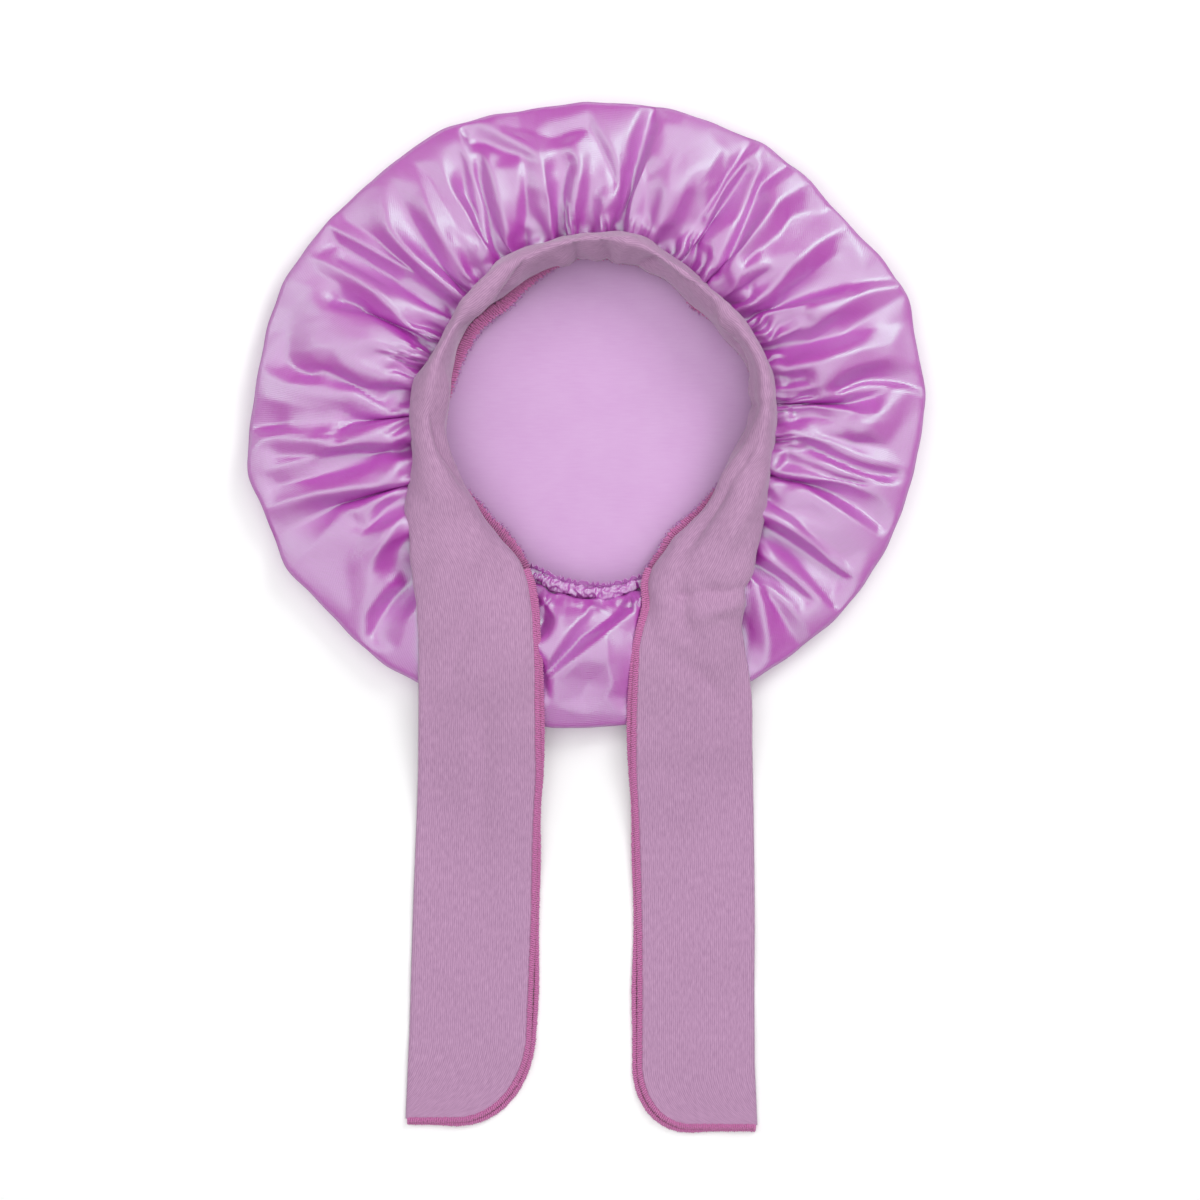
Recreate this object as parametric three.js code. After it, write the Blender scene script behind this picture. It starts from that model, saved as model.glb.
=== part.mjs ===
// A satin bonnet with a folded jersey tie band, lying flat with its opening up.
// Millimetres, +Z up. The origin is the centre of the crown's flat underside.
// +Y points to the front of the band, and the two ties lie along -Y.
import * as THREE from "three";

const { lerp, clamp, smoothstep, degToRad, radToDeg, euclideanModulo } = THREE.MathUtils;

// Cloth thicknesses
const SATIN_WALL = 1.2;
const JERSEY_WALL = 2.2; // two jersey layers, folded on each other
const GAP = 1.2; // between pieces that touch
const BAND_LIFT = 4.6; // from the crown, without its folds, to the middle of the band on it
const DRAPE = { before: 16, after: 26 }; // the ties come down over the rim in this stretch

// Heights of the crown as it lies, measured to the outside of the satin
const OPENING_HEIGHT = 12; // at the gathered edge
const TOP_HEIGHT = 25.5; // at the crest of the puffed ring
const RIM_HEIGHT = 9.5; // where the crown is widest
const CREST_SHARE = 0.55; // the crest's place between the opening, 0, and the rim, 1
const PRESSED = { bearing: 270, halfWidth: 62, depth: 7 }; // flattened by the ties on it
const VALLEY_DIP = 1.5; // how far the outline draws in between two folds

// The crown's folds, one row a ridge, anticlockwise from the right-hand tie.
// rim and opening are the ridge's bearings in degrees at its two ends, reach is the crown's
// radius there, and lift is half the fold's height.
const FOLDS = [
  { rim: -58, opening: -57, reach: 165.0, lift: 0.7 },
  { rim: -50, opening: -45, reach: 166.5, lift: 2.4 },
  { rim: -39, opening: -41, reach: 170.0, lift: 3.4 },
  { rim: -32, opening: -29, reach: 171.5, lift: 3.6 },
  { rim: -24, opening: -23, reach: 173.5, lift: 2.6 },
  { rim: -17, opening: -16, reach: 174.0, lift: 3.4 },
  { rim: -10, opening: -6, reach: 175.5, lift: 3.6 },
  { rim: -3, opening: -1, reach: 177.5, lift: 3.2 },
  { rim: 4, opening: 5.5, reach: 180.0, lift: 3.6 },
  { rim: 11, opening: 12, reach: 178.0, lift: 3.8 },
  { rim: 20, opening: 18, reach: 182.0, lift: 2.8 },
  { rim: 27, opening: 25, reach: 177.5, lift: 4.2 },
  { rim: 37, opening: 36, reach: 171.0, lift: 4.4 },
  { rim: 47, opening: 45, reach: 171.5, lift: 3.8 },
  { rim: 57, opening: 54, reach: 171.5, lift: 3.6 },
  { rim: 67, opening: 66, reach: 168.5, lift: 4.0 },
  { rim: 75, opening: 75, reach: 168.5, lift: 2.6 },
  { rim: 83, opening: 82, reach: 166.0, lift: 3.0 },
  { rim: 90, opening: 88, reach: 166.0, lift: 3.4 },
  { rim: 99, opening: 94, reach: 165.0, lift: 2.6 },
  { rim: 108, opening: 101, reach: 167.0, lift: 3.6 },
  { rim: 117, opening: 110, reach: 170.0, lift: 4.2 },
  { rim: 123, opening: 120, reach: 169.0, lift: 3.6 },
  { rim: 129, opening: 127, reach: 168.5, lift: 4.0 },
  { rim: 136, opening: 135.5, reach: 169.0, lift: 3.8 },
  { rim: 142, opening: 141, reach: 171.0, lift: 3.2 },
  { rim: 149, opening: 150, reach: 172.5, lift: 3.8 },
  { rim: 156, opening: 159, reach: 175.5, lift: 3.2 },
  { rim: 164, opening: 168, reach: 176.0, lift: 4.2 },
  { rim: 173.5, opening: 176, reach: 175.5, lift: 3.6 },
  { rim: 183, opening: 184, reach: 179.0, lift: 3.8 },
  { rim: 190, opening: 191, reach: 183.0, lift: 2.6 },
  { rim: 197, opening: 200, reach: 177.5, lift: 4.0 },
  { rim: 207, opening: 205, reach: 179.0, lift: 3.4 },
  { rim: 215, opening: 211, reach: 172.5, lift: 3.8 },
  { rim: 223, opening: 221, reach: 170.5, lift: 3.6 },
  { rim: 231, opening: 229, reach: 170.0, lift: 2.6 },
  { rim: 239, opening: 238, reach: 167.0, lift: 0.8 },
  { rim: 248, opening: 248, reach: 166.0, lift: 0.6 },
  { rim: 257, opening: 256, reach: 166.0, lift: 0.6 },
  { rim: 264, opening: 264, reach: 166.0, lift: 1.6 },
  { rim: 270, opening: 273, reach: 165.0, lift: 2.6 },
  { rim: 276, opening: 279, reach: 164.5, lift: 1.6 },
  { rim: 284, opening: 285, reach: 164.5, lift: 0.6 },
  { rim: 293, opening: 294, reach: 165.0, lift: 0.6 },
];

// The crown's gathered edge, round the opening: bearing in degrees and radius.
const OPENING = [
  { at: -66, radius: 96.0 },
  { at: -53, radius: 84.5 },
  { at: -40, radius: 81.5 },
  { at: -26, radius: 82.5 },
  { at: -12, radius: 84.5 },
  { at: 0, radius: 88.0 },
  { at: 15, radius: 90.0 },
  { at: 30, radius: 87.0 },
  { at: 45, radius: 84.5 },
  { at: 60, radius: 85.0 },
  { at: 75, radius: 86.5 },
  { at: 90, radius: 86.5 },
  { at: 105, radius: 83.0 },
  { at: 120, radius: 80.5 },
  { at: 135, radius: 79.5 },
  { at: 150, radius: 79.0 },
  { at: 165, radius: 78.5 },
  { at: 183, radius: 77.5 },
  { at: 202, radius: 77.0 },
  { at: 219, radius: 77.5 },
  { at: 234, radius: 81.0 },
  { at: 250, radius: 93.5 },
  { at: 260, radius: 98.5 },
  { at: 272, radius: 99.5 },
  { at: 284, radius: 99.5 },
];

// The folded band, one row a section, from the left tie's hem round the opening to the right
// tie's hem. seam and fold are the places of its raw and its folded edge, arch is how high it
// stands between them, and crest is where across its width it stands highest.
const round = (bearing, seam, fold, arch, crest) => ({
  seam: onCircle(bearing, seam),
  fold: onCircle(bearing, fold),
  arch,
  crest,
});
const BAND = [
  { seam: [-26.9, -340.0], fold: [-93.9, -340.0], arch: 0, crest: 0.5 },
  { seam: [-26.0, -300.0], fold: [-92.7, -300.0], arch: 0, crest: 0.5 },
  { seam: [-25.2, -262.0], fold: [-91.3, -262.0], arch: 0, crest: 0.5 },
  { seam: [-24.4, -219.0], fold: [-89.6, -219.0], arch: 0, crest: 0.5 },
  { seam: [-23.0, -190.0], fold: [-88.4, -190.0], arch: 0.3, crest: 0.5 },
  { seam: [-22.8, -171.0], fold: [-88.0, -171.0], arch: 0.6, crest: 0.5 },
  { seam: [-23.3, -152.0], fold: [-87.6, -153.0], arch: 1.2, crest: 0.5 },
  { seam: [-23.9, -134.0], fold: [-87.5, -136.5], arch: 2.0, crest: 0.48 },
  { seam: [-26.0, -107.5], fold: [-88.0, -110.0], arch: 4.0, crest: 0.45 },
  { seam: [-30.2, -81.0], fold: [-89.6, -86.5], arch: 7.0, crest: 0.4 },
  { seam: [-44.5, -62.5], fold: [-91.7, -65.0], arch: 11.0, crest: 0.36 },
  { seam: [-57.8, -46.5], fold: [-93.3, -44.0], arch: 15.0, crest: 0.36 },
  { seam: [-68.4, -27.0], fold: [-93.3, -22.8], arch: 18.0, crest: 0.4 },
  { seam: [-74.2, -4.2], fold: [-92.2, -1.6], arch: 20.0, crest: 0.45 },
  round(165, 75.3, 88.0, 21, 0.5),
  round(150, 75.8, 86.5, 22, 0.5),
  round(135, 76.3, 87.5, 22, 0.5),
  round(120, 77.4, 90.6, 22, 0.5),
  round(105, 79.5, 93.8, 22, 0.5),
  round(90, 83.2, 96.0, 22, 0.5),
  round(75, 83.2, 97.5, 22, 0.5),
  round(60, 81.6, 94.5, 22, 0.5),
  round(45, 81.1, 94.6, 22, 0.5),
  round(30, 83.7, 96.0, 22, 0.5),
  round(15, 86.9, 99.6, 21, 0.5),
  round(0, 84.8, 99.6, 20, 0.47),
  round(-12, 81.0, 100.7, 19, 0.42),
  { seam: [71.6, -34.5], fold: [97.5, -28.1], arch: 17.0, crest: 0.38 },
  { seam: [59.9, -50.4], fold: [92.8, -54.6], arch: 14.0, crest: 0.34 },
  { seam: [48.2, -65.2], fold: [87.5, -75.8], arch: 11.0, crest: 0.34 },
  { seam: [36.6, -82.2], fold: [81.1, -92.8], arch: 9.0, crest: 0.38 },
  { seam: [31.6, -100.0], fold: [80.0, -106.0], arch: 7.0, crest: 0.42 },
  { seam: [27.0, -123.5], fold: [82.7, -124.5], arch: 3.5, crest: 0.46 },
  { seam: [23.3, -147.3], fold: [85.9, -148.0], arch: 1.4, crest: 0.5 },
  { seam: [21.2, -173.8], fold: [86.4, -173.8], arch: 0.6, crest: 0.5 },
  { seam: [21.6, -190.0], fold: [86.9, -190.0], arch: 0.3, crest: 0.5 },
  { seam: [23.3, -219.0], fold: [87.5, -219.0], arch: 0, crest: 0.5 },
  { seam: [24.2, -262.0], fold: [88.0, -262.0], arch: 0, crest: 0.5 },
  { seam: [24.0, -300.0], fold: [87.8, -300.0], arch: 0, crest: 0.5 },
  { seam: [23.7, -343.0], fold: [88.0, -343.0], arch: 0, crest: 0.5 },
];
const LEFT_TIE = { hem: -371.5, outerCorner: -95.2, cornerRadius: 31, seamRow: 9 };
const RIGHT_TIE = { hem: -375.0, outerCorner: 89.4, cornerRadius: 26, seamRow: 30 };

// Edgings and the nape casing
const OVERLOCK = { width: 3.8, height: 2.2 }; // thread wrapped round the ties' raw edges
const SEAM_RADIUS = 1.8; // the overlocked seam that joins the band to the crown
const CASING = { width: 9.0, height: 4.6, ribs: 13, ribDepth: 0.5, sunk: 1.7 };
const CASING_PATH = [
  [-25.0, -85.5],
  [-14.0, -89.8],
  [0.0, -91.8],
  [14.0, -91.6],
  [27.0, -87.5],
];

// How finely each piece is drawn
const LINES_PER_FOLD = 4;
const BAND_STEPS_PER_ROW = 1.6;
const BAND_POINTS = 8;
const CORNER_STEPS = 6;
const SEAM_STEPS = 48;
const CASING_STEPS = 39;

function onCircle(bearing, radius) {
  const turn = degToRad(bearing);
  return [radius * Math.cos(turn), radius * Math.sin(turn)];
}

// A value round the circle, eased between the rows of a table on either side of a bearing.
function around(rows, place, bearing) {
  const last = rows.length;
  const turn = (i) => Math.floor(i / last) * 360;
  const row = (i) => rows[euclideanModulo(i, last)];
  let i = -1;
  const start = place(row(0));
  const from = start + euclideanModulo(bearing - start, 360);
  while (place(row(i + 1)) + turn(i + 1) <= from) i += 1;
  const low = place(row(i)) + turn(i);
  const high = place(row(i + 1)) + turn(i + 1);
  return { a: row(i), b: row(i + 1), share: (from - low) / (high - low) };
}

// Satin crown, as a height and radius for each bearing and share of the way out.

function openingRadius(bearing) {
  const { a, b, share } = around(OPENING, (row) => row.at, bearing);
  return lerp(a.radius, b.radius, smoothstep(share, 0, 1));
}

function rimRadius(bearing) {
  const { a, b, share } = around(FOLDS, (row) => row.rim, bearing);
  const dip = (VALLEY_DIP * (1 - Math.cos(2 * Math.PI * share))) / 2;
  return lerp(a.reach, b.reach, smoothstep(share, 0, 1)) - dip;
}

function crestHeight(bearing) {
  const off = euclideanModulo(bearing - PRESSED.bearing + 180, 360) - 180;
  const near = clamp(off / PRESSED.halfWidth, -1, 1);
  return TOP_HEIGHT - (PRESSED.depth * (1 + Math.cos(Math.PI * near))) / 2;
}

// The puffed ring's height without folds, from the opening, 0, to the rim, 1.
function puffHeight(share, bearing) {
  const s = clamp(share, 0, 1);
  const crest = crestHeight(bearing);
  if (s < CREST_SHARE) {
    const rise = Math.sin((Math.PI / 2) * (s / CREST_SHARE));
    return lerp(OPENING_HEIGHT, crest, rise);
  }
  const past = (s - CREST_SHARE) / (1 - CREST_SHARE);
  return lerp(RIM_HEIGHT, crest, Math.sqrt(1 - past * past));
}

// A line across the puffed ring, between one ridge, 0, and the next, 1.
function foldLine(index, across) {
  const a = FOLDS[index];
  const b = FOLDS[(index + 1) % FOLDS.length];
  const lap = index + 1 < FOLDS.length ? 0 : 360;
  const rim = lerp(a.rim, b.rim + lap, across);
  const opening = lerp(a.opening, b.opening + lap, across);
  const lift = lerp(a.lift, b.lift, across) * Math.cos(2 * Math.PI * across);
  return (share) => {
    const fade = smoothstep(share, 0, 0.35) * (1 - smoothstep(share, 0.8, 1));
    const radius = lerp(openingRadius(opening), rimRadius(rim), share);
    const bearing = lerp(opening, rim, share);
    const [x, y] = onCircle(bearing, radius);
    return new THREE.Vector3(x, y, puffHeight(share, bearing) + lift * fade);
  };
}

function shareOfWayOut(x, y) {
  const bearing = radToDeg(Math.atan2(y, x));
  const opening = openingRadius(bearing);
  const rim = rimRadius(bearing);
  const radius = Math.hypot(x, y);
  return { bearing, share: (radius - opening) / (rim - opening), past: radius - rim };
}

// Grids of points, and the solids made from them.

function gridNormals(grid, closed) {
  const across = grid[0].length;
  return grid.map((line, i) =>
    line.map((_, j) => {
      const before = closed ? (j + across - 1) % across : Math.max(j - 1, 0);
      const after = closed ? (j + 1) % across : Math.min(j + 1, across - 1);
      const down = grid[Math.min(i + 1, grid.length - 1)][j];
      const up = grid[Math.max(i - 1, 0)][j];
      const along = new THREE.Vector3().subVectors(down, up);
      const side = new THREE.Vector3().subVectors(line[after], line[before]);
      return side.cross(along).normalize();
    }),
  );
}

function shifted(grid, normals, distance) {
  return grid.map((line, i) =>
    line.map((p, j) => p.clone().addScaledVector(normals[i][j], distance)),
  );
}

// A closed body from rings of points, each end closed by a fan round a pole.
function ringBody(rings, startPole, endPole) {
  const count = rings[0].length;
  const points = [...rings.flat(), startPole, endPole];
  const start = rings.length * count;
  const faces = [];
  for (let j = 0; j < count; j += 1) {
    const k = (j + 1) % count;
    faces.push(start, k, j);
    for (let i = 0; i + 1 < rings.length; i += 1) {
      const a = i * count + j;
      const b = i * count + k;
      faces.push(a, b, b + count, a, b + count, a + count);
    }
    const last = (rings.length - 1) * count;
    faces.push(start + 1, last + j, last + k);
  }
  const geometry = new THREE.BufferGeometry().setFromPoints(points);
  geometry.setIndex(faces);
  geometry.computeVertexNormals();
  return geometry;
}

function middle(points) {
  const sum = points.reduce((total, p) => total.add(p), new THREE.Vector3());
  return sum.divideScalar(points.length);
}

// A sheet of cloth of one thickness, from the grid of its middle surface.
function sheetBody(grid, wall) {
  const normals = gridNormals(grid, false);
  const upper = shifted(grid, normals, wall / 2);
  const lower = shifted(grid, normals, -wall / 2);
  const rings = grid.map((_, i) => [...upper[i], ...lower[i].reverse()]);
  return ringBody(rings, middle(rings[0]), middle(rings.at(-1)));
}

// A bar along a path, from the outline of its section: each point is [sideways, up].
function barBody(path, sectionAt) {
  const rings = path.map((p, i) => {
    const before = path[Math.max(i - 1, 0)];
    const after = path[Math.min(i + 1, path.length - 1)];
    const along = new THREE.Vector3().subVectors(after, before).normalize();
    const side = new THREE.Vector3(-along.y, along.x, 0).normalize();
    const up = new THREE.Vector3().crossVectors(along, side);
    const share = i / (path.length - 1);
    return sectionAt(share).map(([u, v]) =>
      p.clone().addScaledVector(side, u).addScaledVector(up, v),
    );
  });
  return ringBody(rings, path[0], path.at(-1));
}

function ellipse(width, height, sides) {
  return Array.from({ length: sides }, (_, i) => {
    const turn = (2 * Math.PI * (i + 0.5)) / sides;
    return [(width / 2) * Math.cos(turn), (height / 2) * Math.sin(turn)];
  });
}

// The pieces.

function satinCrown() {
  const under = [
    { inset: 13, height: 0 },
    { inset: 4, height: 2.4 },
  ];
  const upper = [1, 0.96, 0.88, 0.75, 0.58, 0.4, 0.2, 0];
  const lines = FOLDS.flatMap((_, index) =>
    Array.from({ length: LINES_PER_FOLD }, (_, i) => foldLine(index, i / LINES_PER_FOLD)),
  );
  const rim = lines.map((line) => line(1));
  const outer = [
    ...under.map(({ inset, height }) =>
      rim.map((p) => {
        const flat = new THREE.Vector3(p.x, p.y, 0);
        return flat.setLength(flat.length() - inset).setZ(height);
      }),
    ),
    ...upper.map((share) => lines.map((line) => line(share))),
  ];
  const inner = shifted(outer, gridNormals(outer, true), -SATIN_WALL);
  inner[0].forEach((p) => p.setZ(SATIN_WALL));
  const poles = [new THREE.Vector3(0, 0, 0), new THREE.Vector3(0, 0, SATIN_WALL)];
  return ringBody([...outer, ...inner.reverse()], ...poles);
}

// The height of the middle of the band where it lies: on the crown, over its rim, or on the floor.
function layHeight(x, y) {
  const { bearing, share, past } = shareOfWayOut(x, y);
  const onCrown = puffHeight(Math.min(share, CREST_SHARE), bearing) + BAND_LIFT;
  const onFloor = JERSEY_WALL / 2;
  return lerp(onCrown, onFloor, smoothstep(past, -DRAPE.before, DRAPE.after));
}

function alongEdges() {
  const flat = ([x, y]) => new THREE.Vector3(x, y, 0);
  const curve = (points) => new THREE.CatmullRomCurve3(points, false, "catmullrom");
  const seam = curve(BAND.map((row) => flat(row.seam)));
  const fold = curve(BAND.map((row) => flat(row.fold)));
  const shape = curve(BAND.map((row) => new THREE.Vector3(row.arch, row.crest, 0)));
  return (row) => {
    const t = row / (BAND.length - 1);
    const { x: arch, y: crest } = shape.getPoint(t);
    return { seam: seam.getPoint(t), fold: fold.getPoint(t), arch, crest };
  };
}

// One tie's rounded end, from the hem back to the last full-width section.
function tieEnd(tie, full) {
  const outward = Math.sign(full.fold.x - full.seam.x);
  const bend = full.seam.y - tie.hem;
  return Array.from({ length: CORNER_STEPS }, (_, i) => {
    const turn = (Math.PI / 2) * (i / CORNER_STEPS);
    const y = full.seam.y - bend * Math.cos(turn);
    const share = (full.seam.y - y) / bend;
    const inset = tie.cornerRadius * (1 - Math.sin(turn));
    return {
      seam: new THREE.Vector3(full.seam.x + outward * inset, y, 0),
      fold: new THREE.Vector3(lerp(full.fold.x, tie.outerCorner, share), y, 0),
      arch: 0,
      crest: 0.5,
    };
  });
}

function bandSections() {
  const edges = alongEdges();
  const steps = Math.round((BAND.length - 1) * BAND_STEPS_PER_ROW);
  const body = Array.from({ length: steps + 1 }, (_, i) =>
    edges((i / steps) * (BAND.length - 1)),
  );
  return [
    ...tieEnd(LEFT_TIE, body[0]),
    ...body,
    ...tieEnd(RIGHT_TIE, body.at(-1)).reverse(),
  ];
}

function tieBand() {
  const grid = bandSections().map(({ seam, fold, arch, crest }) =>
    Array.from({ length: BAND_POINTS }, (_, j) => {
      const turn = (Math.PI * j) / (BAND_POINTS - 1);
      const even = (1 - Math.cos(turn)) / 2;
      const across = even ** (Math.log(crest) / Math.log(0.5));
      const p = new THREE.Vector3().lerpVectors(seam, fold, across);
      return p.setZ(layHeight(p.x, p.y) + arch * Math.sin(turn));
    }),
  );
  return sheetBody(grid, JERSEY_WALL);
}

// The thread-wrapped raw edge of one tie, from the nape to the outer end of its hem.
function tieOverlock(tie, isLeft) {
  const edges = alongEdges();
  const last = isLeft ? 0 : BAND.length - 1;
  const steps = 24;
  const down = Array.from({ length: steps + 1 }, (_, i) =>
    edges(lerp(tie.seamRow, last, i / steps)),
  );
  const corner = tieEnd(tie, down.at(-1)).reverse();
  const hem = corner.at(-1);
  const rows = [...down, ...corner];
  const line = rows.map((row) => row.seam.clone());
  const along = [0.5, 1].map((t) => new THREE.Vector3().lerpVectors(hem.seam, hem.fold, t));
  const path = [...line, ...along];
  const clear = OVERLOCK.width / 2 + GAP;
  const sideways = isLeft ? 1 : -1;
  const moved = path.map((p, i) => {
    const ahead = new THREE.Vector3().subVectors(
      path[Math.min(i + 1, path.length - 1)],
      path[Math.max(i - 1, 0)],
    );
    const out = new THREE.Vector3(-ahead.y, ahead.x, 0).normalize();
    const q = p.clone().addScaledVector(out, clear * sideways);
    return q.setZ(layHeight(q.x, q.y));
  });
  return barBody(moved, () => ellipse(OVERLOCK.width, OVERLOCK.height, 6));
}

function bandSeam() {
  const edges = alongEdges();
  const path = Array.from({ length: SEAM_STEPS + 1 }, (_, i) => {
    const row = lerp(LEFT_TIE.seamRow + 0.1, RIGHT_TIE.seamRow - 0.1, i / SEAM_STEPS);
    const { seam } = edges(row);
    return seam.clone().setZ(OPENING_HEIGHT - 1);
  });
  return barBody(path, () => ellipse(2 * SEAM_RADIUS, 2 * SEAM_RADIUS, 6));
}

// The short gathered casing with its elastic, between the ties at the nape.
function napeCasing() {
  const curve = new THREE.CatmullRomCurve3(
    CASING_PATH.map(([x, y]) => new THREE.Vector3(x, y, OPENING_HEIGHT - CASING.sunk)),
  );
  const path = curve.getPoints(CASING_STEPS);
  return barBody(path, (share) => {
    const rib = CASING.ribDepth * Math.cos(2 * Math.PI * CASING.ribs * share);
    return ellipse(CASING.width + rib, CASING.height + 2 * rib, 6);
  });
}

const SATIN = new THREE.MeshStandardMaterial({ color: 0xcf8fd0, roughness: 0.32 });
const JERSEY = new THREE.MeshStandardMaterial({ color: 0xb98ab8, roughness: 0.9 });
const THREAD = new THREE.MeshStandardMaterial({ color: 0xc96aa8, roughness: 0.8 });

const bonnet = new THREE.Group();
const pieces = [
  ["satin_crown", satinCrown(), SATIN],
  ["nape_casing", napeCasing(), SATIN],
  ["tie_band", tieBand(), JERSEY],
  ["band_seam", bandSeam(), THREAD],
  ["left_tie_overlock", tieOverlock(LEFT_TIE, true), THREAD],
  ["right_tie_overlock", tieOverlock(RIGHT_TIE, false), THREAD],
];
for (const [name, geometry, material] of pieces) {
  const mesh = new THREE.Mesh(geometry, material);
  mesh.name = name;
  bonnet.add(mesh);
}

export default bonnet;
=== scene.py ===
import math
import random

import bmesh
import bpy
import numpy as np
from mathutils import Matrix, Vector, noise
from mathutils.bvhtree import BVHTree
from mathutils.geometry import delaunay_2d_cdt


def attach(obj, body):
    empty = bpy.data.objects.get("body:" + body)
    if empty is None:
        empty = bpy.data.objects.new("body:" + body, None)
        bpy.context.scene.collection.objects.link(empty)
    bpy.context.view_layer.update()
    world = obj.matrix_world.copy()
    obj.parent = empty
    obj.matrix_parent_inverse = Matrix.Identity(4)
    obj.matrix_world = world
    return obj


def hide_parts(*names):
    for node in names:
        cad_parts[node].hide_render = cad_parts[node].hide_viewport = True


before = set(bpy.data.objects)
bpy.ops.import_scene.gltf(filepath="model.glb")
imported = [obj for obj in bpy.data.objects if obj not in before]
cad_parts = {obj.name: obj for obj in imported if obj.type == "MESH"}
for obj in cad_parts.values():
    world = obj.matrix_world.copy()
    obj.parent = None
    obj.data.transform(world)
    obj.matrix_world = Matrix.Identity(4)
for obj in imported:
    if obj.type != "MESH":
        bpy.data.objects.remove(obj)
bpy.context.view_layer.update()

# A satin bonnet lying open side up. Metres, +Z up, with the origin under the crown's centre,
# +Y at the front of the band and the two ties along -Y.

MM = 0.001
UP = np.array([0, 0, 1])

# Cloth
SATIN_WALL = 0.3 * MM
JERSEY_WALL = 0.7 * MM
LAYER_GAP = 0.4 * MM  # between the two layers of the folded band

# The crown as it lies, as in the frame
OPENING_HEIGHT = 12 * MM
CREST_HEIGHT = 25.5 * MM
RIM_HEIGHT = 11.5 * MM
RIM_AT = 9.5 * MM  # the height at which the frame's rim is measured
CLEAR_OF_CROWN = 0.3  # a distance from the centre, outside the rim
RIM_ROUNDING = 5  # columns to each side over which the measured rim is smoothed
CREST_SHARE = 0.47  # the crest's place between the opening, 0, and the rim, 1
RIM_TURN = 13 * MM  # how far the rim rolls in under the crown
HEM_FLAT = 12 * MM  # the stretch after it that stays on the floor
PROFILE_STEPS = 300

# How the crown is meshed and gathered
CROWN_COLUMNS = 720
CROWN_ROWS = 56
NAPE_IN = 3.6 * MM  # the opening's edge meets the casing at the nape
RIM_EASE = 1.012  # the cut's girth at the rim, against the rim's own
REACH_EASE = 1.03  # the cut's length from opening to rim, against the way it lies
ROW_SPREAD = ((0, 0.3, 0.72, 1), (0, 0.22, 0.7, 1))  # rows lie closest where the gathers are
GATHERS = 44
GATHER_LIFT = 1.2 * MM
GATHER_REACH = (9 * MM, 12 * MM)  # full up to the first, then fading over the second
CURLS = 118  # smaller curls, put in after the simulation
CURL_LIFT = 2.5 * MM
CURL_ENDS = (32 * MM, 6 * MM)  # how far from the edge the curls reach, and how much that varies
CURL_ENDS_AT_NAPE = 22 * MM  # and how much less at the nape
NAPE_BEARING = 271  # degrees
SIDE_BEARING = -62  # where a bearing table that runs round the crown begins
UNDERSIDE_RINGS = (0.9, 0.8, 0.7, 0.6, 0.5, 0.4, 0.3, 0.2, 0.1, 0.03)  # shares of the hem's radius
WITHIN_HEM = 120 * MM  # the hem lies further out than this, and the opening doesn't

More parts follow.
